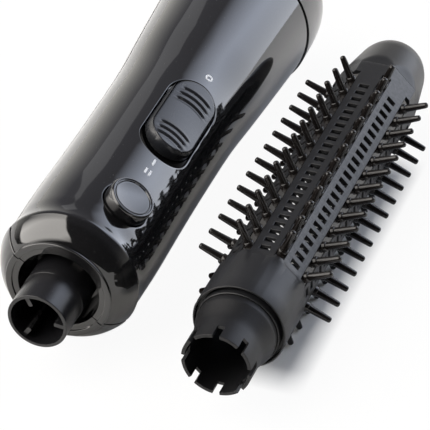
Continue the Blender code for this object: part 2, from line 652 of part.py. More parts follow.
def make_tip_cap(brush):
    """Hollow domed cap with a plug inside the barrel's far end."""
    inside = [(168.9, 0.0), (166.5, 9.0), (143.5, 10.5)]
    outside = [(143.5, 11.4), (148.9, 11.4), (148.9, 13.3), (153.0, 12.7), (165.8, 11.6),
               (168.6, 10.2), (170.2, 7.0), (170.9, 0.0)]
    add_part("tip_cap", revolve(inside + outside, 24), "satin_black", brush)


for existing in list(bpy.data.objects):
    bpy.data.objects.remove(existing, do_unlink=True)

handle_axis = add_empty("handle_axis", None, (HANDLE_X, FRONT_Y, HANDLE_HEIGHT), (HANDLE_TILT, 0.0, HANDLE_YAW))
handle_roll = add_empty("handle_roll", handle_axis, rotation=(0.0, HANDLE_ROLL, 0.0))
brush_axis = add_empty("brush_axis", None, (BRUSH_X, FRONT_Y, BRUSH_HEIGHT))

for make in (make_upper_shell, make_lower_shell, make_shell_screws, make_spigot, make_inlet_cap,
             make_cord_gland, make_release_button, make_release_latch, make_power_slider, make_switch,
             make_heater, make_air_duct, make_motor, make_fan, make_leads):
    make(handle_roll)
for make in (make_barrel, make_bristle_strips, make_connector, make_tip_cap):
    make(brush_axis)
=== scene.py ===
import json
import math

import bmesh
import bpy
import numpy as np
from mathutils import Matrix, Vector


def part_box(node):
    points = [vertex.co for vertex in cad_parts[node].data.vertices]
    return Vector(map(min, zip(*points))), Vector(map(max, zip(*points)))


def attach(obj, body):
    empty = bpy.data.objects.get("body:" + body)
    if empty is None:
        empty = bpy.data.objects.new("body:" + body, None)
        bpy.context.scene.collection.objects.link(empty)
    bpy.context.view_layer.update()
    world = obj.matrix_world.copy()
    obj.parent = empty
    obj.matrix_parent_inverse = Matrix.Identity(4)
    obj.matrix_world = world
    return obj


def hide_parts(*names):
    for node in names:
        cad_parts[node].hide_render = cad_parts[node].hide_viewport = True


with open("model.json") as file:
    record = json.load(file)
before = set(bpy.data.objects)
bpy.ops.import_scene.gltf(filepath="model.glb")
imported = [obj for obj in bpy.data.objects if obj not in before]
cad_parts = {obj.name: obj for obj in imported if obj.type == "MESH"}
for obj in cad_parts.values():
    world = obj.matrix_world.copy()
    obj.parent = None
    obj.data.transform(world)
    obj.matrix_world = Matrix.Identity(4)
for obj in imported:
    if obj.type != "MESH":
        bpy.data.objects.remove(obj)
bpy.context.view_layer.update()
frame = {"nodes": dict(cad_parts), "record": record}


# ---------------------------------------------------------------- table and studio
# A white table top in a studio: a big warm softbox on the left and a cool one behind on the right,
# both part of the world, and a strip of lamps between them for the thin highlight.

TABLE_HALF = 4.0
TABLE_BELOW = 0.0002           # how far the table lies under the lowest point
TABLE_CORNERS = ((-1, -1), (1, -1), (1, 1), (-1, 1))

crown_low, crown_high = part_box("brush_connector")
barrel_low, barrel_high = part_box("brush_barrel")
brush_origin = np.array([(crown_low.x + crown_high.x) / 2, crown_low.y,
                         (crown_low.z + crown_high.z) / 2])

table_mesh = bpy.data.meshes.new("table_top")
table_mesh.from_pydata([(x * TABLE_HALF, y * TABLE_HALF, -TABLE_BELOW) for x, y in TABLE_CORNERS],
                       [], [(0, 1, 2, 3)])
table_top = bpy.data.objects.new("table_top", table_mesh)
bpy.context.scene.collection.objects.link(table_top)


def link(tree, source, target):
    """Join an output socket to an input socket."""
    tree.links.new(source, target)


def math_node(tree, operation, first, second=None):
    """A Math node; each value is a socket or a number."""
    node = tree.nodes.new("ShaderNodeMath")
    node.operation = operation
    for slot, value in zip(node.inputs, (first, second)):
        if isinstance(value, bpy.types.NodeSocket):
            link(tree, value, slot)
        elif value is not None:
            slot.default_value = value
    return node.outputs["Value"]


def noise(tree, coordinate, scale, detail=3.0, stretch=(1.0, 1.0, 1.0)):
    """Noise in object space; stretch scales each axis first."""
    mapping = tree.nodes.new("ShaderNodeMapping")
    mapping.inputs["Scale"].default_value = stretch
    link(tree, coordinate, mapping.inputs["Vector"])
    texture = tree.nodes.new("ShaderNodeTexNoise")
    texture.inputs["Scale"].default_value = scale
    texture.inputs["Detail"].default_value = detail
    link(tree, mapping.outputs["Vector"], texture.inputs["Vector"])
    return texture.outputs["Fac"]


def ranged(tree, value, low, high, to_low, to_high):
    """A value moved from one range to another, and kept inside it."""
    node = tree.nodes.new("ShaderNodeMapRange")
    link(tree, value, node.inputs["Value"])
    for name, number in (("From Min", low), ("From Max", high), ("To Min", to_low), ("To Max", to_high)):
        node.inputs[name].default_value = number
    return node.outputs["Result"]


def mixed(tree, factor, first, second):
    """Two colours mixed by a socket; each colour is a socket or three numbers."""
    node = tree.nodes.new("ShaderNodeMix")
    node.data_type = "RGBA"
    link(tree, factor, node.inputs["Factor"])
    for name, value in (("A", first), ("B", second)):
        target = [s for s in node.inputs if s.name == name and s.type == "RGBA"][0]
        if isinstance(value, bpy.types.NodeSocket):
            link(tree, value, target)
        else:
            target.default_value = (*value, 1.0)
    return [s for s in node.outputs if s.type == "RGBA"][0]


def new_material(name):
    """An empty node material with its tree, shader and object coordinates."""
    material = bpy.data.materials.new(name)
    material.use_nodes = True
    tree = material.node_tree
    shader = tree.nodes["Principled BSDF"]
    coordinate = tree.nodes.new("ShaderNodeTexCoord").outputs["Object"]
    return material, tree, shader, coordinate


def away_from(tree, value, middle, inner, outer):
    """1 within inner of the middle, falling to 0 at outer."""
    distance = math_node(tree, "ABSOLUTE", math_node(tree, "SUBTRACT", value, middle))
    return ranged(tree, distance, inner, outer, 1.0, 0.0)


# The table glows softly to the eye, except where the vented barrel stands over it: there the glow is switched
# off, a painted shade patch under the barrel that keeps the vents and the floor beneath dark.
TABLE_GLOW = 0.94
SHADE_SIDES = (0.011, 0.019)   # from the brush's middle line: no glow, full glow
SHADE_END = 0.012
table_material, tree, shader, coordinate = new_material("matt_white_table")
link(tree, mixed(tree, noise(tree, coordinate, 30.0), (0.86, 0.86, 0.85), (0.9, 0.9, 0.89)),
     shader.inputs["Base Color"])
shader.inputs["Roughness"].default_value = 0.6
across = tree.nodes.new("ShaderNodeSeparateXYZ")
link(tree, coordinate, across.inputs[0])
barrel_half = (barrel_high.y - barrel_low.y) / 2
# painted shade: 1 over the barrel's footprint, where the table's glow is taken away
painted_shade_under_barrel = math_node(tree, "MULTIPLY",
                         away_from(tree, across.outputs["X"], float(brush_origin[0]), *SHADE_SIDES),
                         away_from(tree, across.outputs["Y"], barrel_low.y + barrel_half,
                                   barrel_half - SHADE_END, barrel_half))
lit = math_node(tree, "MULTIPLY", math_node(tree, "SUBTRACT", 1.0, painted_shade_under_barrel), TABLE_GLOW)
seen = tree.nodes.new("ShaderNodeLightPath").outputs["Is Camera Ray"]
glowing = tree.nodes.new("ShaderNodeEmission")
blend_in = tree.nodes.new("ShaderNodeMixShader")
link(tree, math_node(tree, "MULTIPLY", lit, seen), blend_in.inputs[0])
link(tree, shader.outputs[0], blend_in.inputs[1])
link(tree, glowing.outputs[0], blend_in.inputs[2])
link(tree, blend_in.outputs[0], tree.nodes["Material Output"].inputs["Surface"])
table_mesh.materials.append(table_material)


def softbox(tree, direction, middle, up, half_width, half_height, soft_side, soft_end):
    """Mask of a flat box far away: 1 inside, fading at its sides and ends.

    The direction is divided by its depth towards the middle, which gives flat coordinates on the box.
    """
    middle = Vector(middle).normalized()
    across = Vector(up).cross(middle).normalized()
    upright = middle.cross(across)

    def along(axis):
        """The direction's length along an axis."""
        node = tree.nodes.new("ShaderNodeVectorMath")
        node.operation = "DOT_PRODUCT"
        link(tree, direction, node.inputs[0])
        node.inputs[1].default_value = axis
        return node.outputs["Value"]

    depth = math_node(tree, "MAXIMUM", along(middle), 0.02)
    mask = None
    for axis, half, soft in ((across, half_width, soft_side), (upright, half_height, soft_end)):
        away = math_node(tree, "ABSOLUTE", math_node(tree, "DIVIDE", along(axis), depth))
        edge = ranged(tree, away, half - soft, half, 1.0, 0.0)
        mask = edge if mask is None else math_node(tree, "MULTIPLY", mask, edge)
    return mask


world = bpy.data.worlds.new("softbox_studio")
bpy.context.scene.world = world
world.use_nodes = True
tree = world.node_tree
direction = tree.nodes.new("ShaderNodeTexCoord").outputs["Generated"]
height = tree.nodes.new("ShaderNodeSeparateXYZ")
link(tree, direction, height.inputs[0])
upper_share = ranged(tree, height.outputs["Z"], 0.0, 0.5, 0.0, 1.0)
rear_share = ranged(tree, height.outputs["Y"], -0.2, 0.6, 0.0, 1.0)
glow = mixed(tree, upper_share, (1.2, 1.17, 1.1), (0.26, 0.26, 0.29))
glow = mixed(tree, rear_share, (0.03, 0.03, 0.03), glow)
SOFTBOXES = (
    # middle, up, half width, half height, soft side, soft end, colour
    ((-0.72, -0.42, 0.66), (0.0, 1.0, 0.0), 0.72, 0.86, 0.06, 0.45, (5.2, 5.0, 4.75)),
    ((0.50, 0.74, 0.36), (0.2, 0.1, 1.0), 0.52, 0.62, 0.5, 0.2, (2.6, 2.85, 3.4)),
)
for middle, up, half_width, half_height, soft_side, soft_end, colour in SOFTBOXES:
    mask = softbox(tree, direction, middle, up, half_width, half_height, soft_side, soft_end)
    bright = mixed(tree, mask, (0.0, 0.0, 0.0), colour)
    adding = tree.nodes.new("ShaderNodeVectorMath")
    adding.operation = "ADD"
    link(tree, glow, adding.inputs[0])
    link(tree, bright, adding.inputs[1])
    glow = adding.outputs["Vector"]
link(tree, glow, tree.nodes["Background"].inputs["Color"])
bpy.context.scene.view_settings.view_transform = "Standard"

# The strip is three lights of different widths on one line, so that its sides fade.
STRIP_ENDS = np.array([(-0.185, 0.361, 0.434), (-0.318, 0.454, 0.348)])
STRIP_WIDTHS = (0.03, 0.06, 0.1)
STRIP_RADIANCE = 0.4
STRIP_AIM = (-0.02, 0.0, 0.03)
strip_run = Vector(STRIP_ENDS[1] - STRIP_ENDS[0])
strip_middle = Vector(STRIP_ENDS.mean(axis=0))
strip_back = (strip_middle - Vector(STRIP_AIM)).normalized()
strip_side = strip_back.cross(strip_run.normalized()).normalized()
strip_turn = Matrix((strip_side.cross(strip_back), strip_side, strip_back)).transposed()
for width in STRIP_WIDTHS:
    strip_data = bpy.data.lights.new("strip", "AREA")
    strip_data.shape = "RECTANGLE"
    strip_data.size = strip_run.length
    strip_data.size_y = width
    strip_data.energy = STRIP_RADIANCE * math.pi * strip_run.length * width
    strip_light = bpy.data.objects.new("strip", strip_data)
    strip_light.matrix_world = Matrix.Translation(strip_middle) @ strip_turn.to_4x4()
    strip_light.visible_camera = False
    bpy.context.scene.collection.objects.link(strip_light)

CAMERA_FROM_CROWN = (0.181281, -0.485152, 0.413129)
CAMERA_FORWARD = (-0.2871, 0.7673, -0.5733)
CAMERA_LENS = 200.17
CAMERA_SENSOR = 36.0

camera_data = bpy.data.cameras.new("camera")
camera_data.lens = CAMERA_LENS
camera_data.sensor_width = CAMERA_SENSOR
camera = bpy.data.objects.new("camera", camera_data)
bpy.context.scene.collection.objects.link(camera)
camera.location = brush_origin + np.array(CAMERA_FROM_CROWN)
camera.rotation_euler = Vector(CAMERA_FORWARD).to_track_quat("-Z", "Y").to_euler()
bpy.context.scene.camera = camera


# ---------------------------------------------------------------- handle casing
# Two half shells in piano-black ABS, moulded to a mirror finish and screwed together from below.
# Each is one closed wall: skin, nose cone, collar, brush socket and inside, with every opening let in.

MM = 0.001
HUB_STATION = 155.0            # where the fan's joint sits, behind the spigot's mouth
SEAM_GAP = math.radians(0.7)
SEAM_EASE = 0.4                # rounding along the parting edge
SEAM_STEPS = np.array([0.0, 0.08, 0.25, 0.5, 0.8, 1.0])
SEAM_SHOWS = (14.0, 16.0)      # station and radius past which that edge is rounded
SKIN_RADIUS = 21.5             # turns a length across the seam into an angle
INSIDE_FROM = 25.0             # where the wall's inside starts, behind the nose
BODY = [(23.5, 21.75), (26.0, 21.4), (32.0, 21.45), (40.0, 21.6), (62.0, 21.45), (76.0, 21.4),
        (90.0, 21.5), (110.0, 21.9), (130.0, 23.3), (150.0, 24.6), (168.0, 25.7)]
BODY_ROWS = 150
SHELL_COLUMNS = 92
WALL = 2.0
CONE = [(16.35, 17.0), (18.0, 18.75), (20.5, 20.45), (23.5, 21.75)]
COLLAR = [(30.5, 12.55, 0), (15.5, 12.55, 0.25), (15.5, 14.35, 0.1), (15.0, 14.55, 0.15),
          (15.0, 16.45, 0.4), (15.85, 16.45, 0.2), (16.0, 16.0, 0.1), (16.35, 17.0, 0)]
NOSE_INSIDE = [(INSIDE_FROM, 19.5, 0), (20.5, 18.2, 0.3), (17.2, 15.4, 0.3), (17.2, 14.05, 0.3),
               (32.0, 14.05, 0.3), (32.0, 9.45, 0.1), (30.5, 9.45, 0.1)]

handle_joints = {joint["name"]: joint for joint in frame["record"]["behaviour"]["joints"]}
rearward = np.array(handle_joints["fan_spin"]["axis"], float)
rearward /= np.linalg.norm(rearward)
upward = -np.array(handle_joints["release_press"]["axis"], float)
upward -= rearward * (upward @ rearward)
upward /= np.linalg.norm(upward)
handle_axes = np.stack([np.cross(rearward, upward), rearward, upward])
handle_origin = np.array(handle_joints["fan_spin"]["pos_m"], float) - HUB_STATION * MM * rearward
handle_place = (handle_axes, handle_origin)


def spline(points, count):
    """Smooth line through points (a, b), evenly read along a.

    Each span is a cubic whose slopes at its ends are those of the parabola through the neighbours.
    """
    a, b = np.asarray(points, float).T
    slope = np.gradient(b, a)
    at = np.linspace(a[0], a[-1], count)
    span = np.clip(np.searchsorted(a, at, side="right") - 1, 0, len(a) - 2)
    width = a[span + 1] - a[span]
    t = (at - a[span]) / width
    value = (1 + 2 * t) * (1 - t) ** 2 * b[span] + t * (1 - t) ** 2 * width * slope[span]
    value += t ** 2 * (3 - 2 * t) * b[span + 1] - t ** 2 * (1 - t) * width * slope[span + 1]
    return np.stack([at, value], axis=1)


def eased(corners, steps=4):
    """Outline through corners (a, b, ease): each corner is rounded by a parabola.

    The parabola starts the ease's length before the corner, ends as far after it, and aims at it.
    """
    corners = np.asarray(corners, float)
    line = []
    for k, (a, b, ease) in enumerate(corners):
        corner = np.array([a, b])
        if ease == 0 or k in (0, len(corners) - 1):
            line.append(corner)
            continue
        before = corners[k - 1, :2] - corner
        after = corners[k + 1, :2] - corner
        start = corner + before * ease / np.linalg.norm(before)
        end = corner + after * ease / np.linalg.norm(after)
        for t in np.linspace(0, 1, steps + 1):
            line.append((1 - t) ** 2 * start + 2 * t * (1 - t) * corner + t ** 2 * end)
    return np.array(line)


class Body:
    """Points and faces of one piece as they are gathered, in millimetres on the piece's own axes."""

    def __init__(self):
        self.points = []
        self.faces = []
        self.count = 0

    def add_points(self, points):
        """Keep an array of points (..., 3) and return their numbers in the same arrangement."""
        points = np.asarray(points, float)
        numbers = self.count + np.arange(points[..., 0].size).reshape(points.shape[:-1])
        self.points.append(points.reshape(-1, 3))
        self.count += numbers.size
        return numbers

    def add_faces(self, faces):
        """Keep faces, an array (n, corners) of point numbers."""
        self.faces += np.asarray(faces).tolist()

    def add_grid(self, numbers, wrap_rows=False, wrap_columns=False, keep=None):
        """Quads between neighbouring rows and columns; keep masks the cells."""
        if wrap_rows:
            numbers = np.vstack([numbers, numbers[:1]])
        if wrap_columns:
            numbers = np.hstack([numbers, numbers[:, :1]])
        quads = np.stack([numbers[:-1, :-1], numbers[1:, :-1], numbers[1:, 1:], numbers[:-1, 1:]], -1)
        self.add_faces(quads[keep] if keep is not None else quads.reshape(-1, 4))


def body_of(grid, wrap_rows=False, keep=None):
    """A body of one grid that closes round its columns."""
    body = Body()
    body.add_grid(body.add_points(grid), wrap_rows=wrap_rows, wrap_columns=True, keep=keep)
    return body


def finish_piece(name, body, place, material, sharp=32.0):
    """The object: points go to the row frame, doubles merge, faces turn outwards, edges stay crisp."""
    axes, origin = place
    mesh = bpy.data.meshes.new(name)
    mesh.from_pydata((np.vstack(body.points) @ axes * MM + origin).tolist(), [], body.faces)
    work = bmesh.new()
    work.from_mesh(mesh)
    bmesh.ops.remove_doubles(work, verts=work.verts, dist=2e-6)
    bmesh.ops.delete(work, geom=[v for v in work.verts if not v.link_faces], context="VERTS")
    bmesh.ops.recalc_face_normals(work, faces=work.faces)
    work.to_mesh(mesh)
    work.free()
    mesh.shade_smooth()
    mesh.set_sharp_from_angle(angle=math.radians(sharp))
    piece = bpy.data.objects.new(name, mesh)
    bpy.context.scene.collection.objects.link(piece)
    mesh.materials.append(material)
    return piece


def full_turn(count):
    """Evenly spaced angles round a whole turn."""
    return np.linspace(0, math.tau, count + 1)[:-1]


def around_axis(profile, angles):
    """Grid of points from a profile of (station, radius) turned about +Y to each angle from +X to +Z."""
    station, radius = profile[:, 0][:, None], profile[:, 1][:, None]
    return np.stack([radius * np.cos(angles), station + 0 * angles, radius * np.sin(angles)], axis=-1)


def let_in(body, grid, numbers, rows, columns, side, skin, rings):
    """An opening let into a skin, and the numbers of its last ring.

    The border of a block of the grid is joined to a series of rings. Each ring is a round-ended slot
    along Y: a middle line, and points straight out from it towards the border's points. A ring's
    height is a depth below the skin, or a level of its own.
    """
    first, last = columns[0], columns[-1]
    border = [(rows[0], c) for c in columns] + [(r, last) for r in rows[1:]]
    border += [(rows[-1], c) for c in columns[-2::-1]] + [(r, first) for r in rows[-2:0:-1]]
    border = np.array(border)
    outer = grid[border[:, 0], border[:, 1]][:, :2]
    previous = numbers[border[:, 0], border[:, 1]]

    def skin_height(plan):
        """Height of the skin over points (x, y)."""
        return side * np.sqrt(np.interp(plan[:, 1], *skin) ** 2 - plan[:, 0] ** 2)

    def ring_plan(middle_x, start, end, radius):
        """Points (x, y) of a round-ended slot, each facing a point of the border."""
        middle = np.stack([np.full(len(outer), middle_x), np.clip(outer[:, 1], start, end)], axis=1)
        out = outer - middle
        return middle + radius * out / np.linalg.norm(out, axis=1, keepdims=True)

    halfway = (outer + ring_plan(*rings[0][:4])) / 2
    rows_of_points = [np.column_stack([halfway, skin_height(halfway)])]
    for middle_x, start, end, radius, kind, value in rings:
        plan = ring_plan(middle_x, start, end, radius)
        height = skin_height(plan) - side * value if kind == "depth" else np.full(len(plan), value)
        rows_of_points.append(np.column_stack([plan, height]))
    for points in rows_of_points:
        current = body.add_points(points)
        body.add_grid(np.stack([previous, current]), wrap_columns=True)
        previous = current
    return previous


def rim(x, start, end, radius, ease=0.35):
    """Rings of a slot's rounded upper edge, from the skin down to its wall."""
    turns = np.linspace(0, math.pi / 2, 5)
    spread = [(x, start, end, radius + ease * (1 - math.sin(t)), "depth", ease * (1 - math.cos(t)))
              for t in turns]
    return [(x, start, end, radius + 2 * ease, "depth", 0.0)] + spread


def half_shell(start, openings):
    """A half shell: a closed wall outline turned from one parting face to the other.

    openings are (middle x, first, last, block margin, outer rings, inner rings or None); where both
    are given, the last rings are joined, which makes a hole right through.
    """
    body_line = spline(BODY, BODY_ROWS)
    outside = np.vstack([eased(COLLAR)[:-1], spline(CONE, 12)[:-1], body_line])
    inside = body_line[body_line[:, 0] > INSIDE_FROM][::-1] - (0.0, WALL)
    outline = np.vstack([outside, inside, eased(NOSE_INSIDE)[1:]])
    edge = SEAM_GAP + SEAM_STEPS * SEAM_EASE / SKIN_RADIUS
    between = np.linspace(edge[-1], math.pi - edge[-1], SHELL_COLUMNS)[1:-1]
    angles = start + np.concatenate([edge, between, math.pi - edge[::-1]])
    grid = around_axis(outline, angles)
    from_edge = np.minimum(angles - angles[0], angles[-1] - angles) * SKIN_RADIUS
    near = SEAM_EASE - np.minimum(from_edge, SEAM_EASE)
    drop = SEAM_EASE - np.sqrt(SEAM_EASE ** 2 - near ** 2)
    on_skin = (np.arange(len(outline)) < len(outside)) & np.all(outline > SEAM_SHOWS, axis=1)
    scale = 1 - drop[None, :] * on_skin[:, None] / outline[:, 1][:, None]
    grid[..., [0, 2]] *= scale[..., None]
    body = Body()
    numbers = body.add_points(grid)
    keep = np.ones((len(outline), len(angles) - 1), bool)
    side = 1.0 if math.sin(start + 1.0) > 0 else -1.0
    body_row = len(outside) - BODY_ROWS
    inside_row = len(outside) + len(inside) - 1
    skipped = BODY_ROWS - len(inside)
    for middle_x, first, last, margin, outer_rings, inner_rings in openings:
        stations = body_line[:, 0]
        picked = np.flatnonzero((stations > first - margin) & (stations < last + margin))
        middle_row = grid[body_row + picked[len(picked) // 2]]
        columns = np.flatnonzero(np.abs(middle_row[:, 0] - middle_x) < margin * 1.12)
        rows = body_row + picked
        ends = []
        inner_block = inside_row - (picked - skipped)
        for block, rings, radius in ((rows, outer_rings, body_line[:, 1]),
                                     (inner_block, inner_rings, body_line[:, 1] - WALL)):
            if rings is None:
                continue
            low, high = min(block[0], block[-1]), max(block[0], block[-1])
            keep[low:high, columns[0]:columns[-1]] = False
            ends.append(let_in(body, grid, numbers, block, columns, side, (stations, radius), rings))
        if len(ends) == 2:
            body.add_grid(np.stack(ends), wrap_columns=True)
    body.add_grid(numbers, wrap_rows=True, keep=keep)
    body.add_faces([numbers[:, 0]])
    body.add_faces([numbers[::-1, -1]])
    return body


RECESS = (0.0, 72.3, 94.5)     # middle x, and the ends of the slot's middle line
RECESS_HALF, RECESS_FLOOR = 8.7, 17.9
STEM_SLOT = (0.0, 78.8, 88.6)
STEM_HALF = 2.5
UNDER_RECESS = 16.4            # level of the wall's inside below the recess
BUTTON_AT = 38.9
BUTTON_HOLE = (0.0, BUTTON_AT, BUTTON_AT)
BUTTON_HALF = 7.4
recess_rings = rim(*RECESS, RECESS_HALF) + [
    (*RECESS, RECESS_HALF, "level", 18.5),
    (*RECESS, RECESS_HALF - 0.1, "level", 18.05),
    (*RECESS, RECESS_HALF - 0.4, "level", RECESS_FLOOR),
    (0.0, RECESS[1] + 3.0, RECESS[2] - 3.0, 4.4, "level", RECESS_FLOOR),
    (*STEM_SLOT, STEM_HALF, "level", RECESS_FLOOR),
    (*STEM_SLOT, STEM_HALF, "level", 17.0)]
recess_inside = [(*RECESS, RECESS_HALF + 1.1, "depth", 0.0),
                 (*RECESS, RECESS_HALF + 1.0, "level", UNDER_RECESS),
                 (*STEM_SLOT, STEM_HALF, "level", UNDER_RECESS)]
button_rings = rim(*BUTTON_HOLE, BUTTON_HALF, 0.3) + [(*BUTTON_HOLE, BUTTON_HALF, "depth", 1.2)]
button_inside = [(*BUTTON_HOLE, BUTTON_HALF, "depth", 0.0)]
upper_openings = [(*RECESS, RECESS_HALF + 1.3, recess_rings, recess_inside),
                  (*BUTTON_HOLE, BUTTON_HALF + 1.2, button_rings, button_inside)]

WELL_RADIUS, SCREW_RADIUS, BOSS_RADIUS = 2.9, 1.6, 3.9
lower_openings = []
for screw_x in (-15.0, 15.0):
    for screw_y in (50.0, 95.0):
        spot = (screw_x, screw_y, screw_y)
        well = rim(*spot, WELL_RADIUS, 0.25)
        well += [(*spot, WELL_RADIUS, "level", -8.9), (*spot, SCREW_RADIUS, "level", -8.8)]
        boss = [(*spot, BOSS_RADIUS, "depth", 0.0), (*spot, BOSS_RADIUS - 0.1, "level", -0.5),
                (*spot, SCREW_RADIUS, "level", -0.4)]
        lower_openings.append((*spot, BOSS_RADIUS + 0.7, well, boss))


def group_of(name, outputs, inputs):
    """An empty node group that takes a Vector and numbers, and the nodes at its two ends."""
    group = bpy.data.node_groups.new(name, "ShaderNodeTree")
    group.interface.new_socket("Vector", in_out="INPUT", socket_type="NodeSocketVector")
    for socket, value in inputs.items():
        made = group.interface.new_socket(socket, in_out="INPUT", socket_type="NodeSocketFloat")
        made.default_value = value
    for socket in outputs:
        group.interface.new_socket(socket, in_out="OUTPUT", socket_type="NodeSocketFloat")
    return group, group.nodes.new("NodeGroupInput"), group.nodes.new("NodeGroupOutput")


def make_handling_group():
    """Handling marks: broad smears and fine specks of dust, for roughness and for colour."""
    group, entry, leave = group_of("handling_marks", ("Roughness", "Dust"), {"Base": 0.1, "Spread": 0.05})
    smear = noise(group, entry.outputs["Vector"], 60.0, 4.0, (1.0, 0.45, 1.0))
    smear = ranged(group, smear, 0.35, 0.7, 0.0, 1.0)
    rough = math_node(group, "MULTIPLY_ADD", smear, entry.outputs["Spread"])
    link(group, entry.outputs["Base"], rough.node.inputs[2])
    link(group, rough, leave.inputs["Roughness"])
    speck = noise(group, entry.outputs["Vector"], 2600.0, 1.0)
    link(group, ranged(group, speck, 0.76, 0.8, 0.0, 1.0), leave.inputs["Dust"])
    return group


def make_edge_group():
    """Edge rub: bright where the surface turns sharply outwards, broken up by noise."""
    group, entry, leave = group_of("edge_rub", ("Mask",), {"Amount": 0.3})
    pointed = group.nodes.new("ShaderNodeNewGeometry").outputs["Pointiness"]
    edge = ranged(group, pointed, 0.53, 0.6, 0.0, 1.0)
    broken = ranged(group, noise(group, entry.outputs["Vector"], 900.0, 3.0), 0.35, 0.65, 0.2, 1.0)
    rubbed = math_node(group, "MULTIPLY", edge, broken)
    mask = math_node(group, "MULTIPLY", rubbed, entry.outputs["Amount"])
    link(group, mask, leave.inputs["Mask"])
    return group


def make_grain_group():
    """Moulded grain: a fine pebble from two sizes of noise, as a height."""
    group, entry, leave = group_of("moulded_grain", ("Height",), {"Coarse": 0.5})
    fine = noise(group, entry.outputs["Vector"], 5200.0, 2.0)
    coarse = noise(group, entry.outputs["Vector"], 1500.0, 2.0)
    mix = math_node(group, "MULTIPLY_ADD", coarse, entry.outputs["Coarse"])
    link(group, fine, mix.node.inputs[2])
    link(group, mix, leave.inputs["Height"])
    return group


handling_marks = make_handling_group()
edge_rub = make_edge_group()
moulded_grain = make_grain_group()


def place_group(tree, group, coordinate, **values):
    """A group node fed with the coordinate and with its own numbers."""
    node = tree.nodes.new("ShaderNodeGroup")
    node.node_tree = group
    link(tree, coordinate, node.inputs["Vector"])
    for name, value in values.items():
        node.inputs[name].default_value = value
    return node


def bumped(tree, shader, height, depth):
    """Bump on the shader's normal, its depth in millimetres."""
    bump = tree.nodes.new("ShaderNodeBump")
    bump.inputs["Distance"].default_value = depth * MM
    bump.inputs["Strength"].default_value = 1.0
    link(tree, height, bump.inputs["Height"])
    link(tree, bump.outputs["Normal"], shader.inputs["Normal"])


def moulded_plastic(name, colour, worn, roughness, spread, grain, coarse=0.5, rub=0.3, coat=0.0,
                    shine=0.5):
    """Moulded plastic: slight colour drift, handling marks, rubbed edges and a grain of given depth."""
    material, tree, shader, coordinate = new_material(name)
    marks = place_group(tree, handling_marks, coordinate, Base=roughness, Spread=spread)
    rubbed = place_group(tree, edge_rub, coordinate, Amount=rub).outputs["Mask"]
    drift = ranged(tree, noise(tree, coordinate, 45.0, 2.0), 0.3, 0.7, 0.0, 1.0)
    ground = mixed(tree, drift, colour, tuple(1.25 * channel for channel in colour))
    dusty = math_node(tree, "MULTIPLY", marks.outputs["Dust"], 0.25)
    ground = mixed(tree, dusty, ground, (0.3, 0.3, 0.29))
    link(tree, mixed(tree, rubbed, ground, worn), shader.inputs["Base Color"])
    link(tree, marks.outputs["Roughness"], shader.inputs["Roughness"])
    bumped(tree, shader, place_group(tree, moulded_grain, coordinate, Coarse=coarse).outputs["Height"], grain)
    shader.inputs["Specular IOR Level"].default_value = shine
    shader.inputs["Coat Weight"].default_value = coat
    shader.inputs["Coat Roughness"].default_value = 0.02
    return material


piano_black = moulded_plastic("piano_black", (0.006, 0.006, 0.0065), (0.05, 0.05, 0.05),
                              0.05, 0.03, 0.00005, 0.3, 0.25, coat=0.6)

upper_body = half_shell(0.0, upper_openings)
upper_shell = finish_piece("upper_shell_skin", upper_body, handle_place, piano_black)
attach(upper_shell, "handle")
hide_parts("upper_shell")

lower_body = half_shell(math.pi, lower_openings)
lower_shell = finish_piece("lower_shell_skin", lower_body, handle_place, piano_black)
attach(lower_shell, "handle")
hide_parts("lower_shell")


# ---------------------------------------------------------------- spigot
# The thin glass-filled nylon tube that the brush slides over. Hot air leaves through it, and three
# ribs stand in its bore. It is moulded on its own and held by a flange behind the socket.

RIB_ANGLES = np.radians([30.0, 150.0, 270.0])
RIB_HALF = 0.65
RIB_INNER = 4.8
RIB_START, RIB_END = 0.9, 30.0
SPIGOT_BORE = 8.1
SPIGOT_OUTSIDE = [(0.0, 8.1, 0), (0.0, 9.13, 0.25), (11.2, 9.13, 0.05), (11.3, 9.2, 0.05), (32.3, 9.2, 0.1),
                  (32.3, 13.0, 0.1), (34.3, 13.0, 0.1), (34.3, 9.13, 0.1), (44.0, 9.13, 0.2),
                  (44.0, 8.1, 0)]


def spigot_body():
    """The tube: outside turned from its outline, bore a round section pinched into three ribs.

    Between ribs both sections follow the same angles. At a rib the bore's points leave the circle and
    run in along one side of the rib, round its end, and out along the other side.
    """
    half = math.asin(RIB_HALF / SPIGOT_BORE)
    chord = SPIGOT_BORE * math.cos(half)
    inwards = np.array([0.0, 0.35, 0.7, 0.92, 1.0, 1.0, 0.92, 0.7, 0.35, 0.0])
    across = np.array([-1, -1, -1, -1, -0.6, 0.6, 1, 1, 1, 1]) * RIB_HALF
    angles, bore = [], []
    for k, middle in enumerate(RIB_ANGLES):
        rib_angles = middle + np.linspace(-half, half, len(inwards))
        depth = chord - inwards * (chord - RIB_INNER)
        out = np.array([math.cos(middle), math.sin(middle)])
        side = np.array([-out[1], out[0]])
        bore.append(depth[:, None] * out + across[:, None] * side)
        following = RIB_ANGLES[(k + 1) % 3] + (math.tau if k == 2 else 0.0)
        between = np.linspace(middle + half, following - half, 30)[1:-1]
        bore.append(SPIGOT_BORE * np.stack([np.cos(between), np.sin(between)], axis=1))
        angles += [rib_angles, between]
    angles = np.concatenate(angles)
    ribbed = np.vstack(bore)
    outside = around_axis(eased(SPIGOT_OUTSIDE), angles)
    circle = SPIGOT_BORE * np.stack([np.cos(angles), np.sin(angles)], axis=1)
    inside = []
    for section, station in ((circle, RIB_END), (ribbed, RIB_END), (ribbed, RIB_START), (circle, RIB_START)):
        inside.append(np.column_stack([section[:, 0], np.full(len(angles), station), section[:, 1]]))
    return body_of(np.concatenate([outside, np.stack(inside)]), wrap_rows=True)


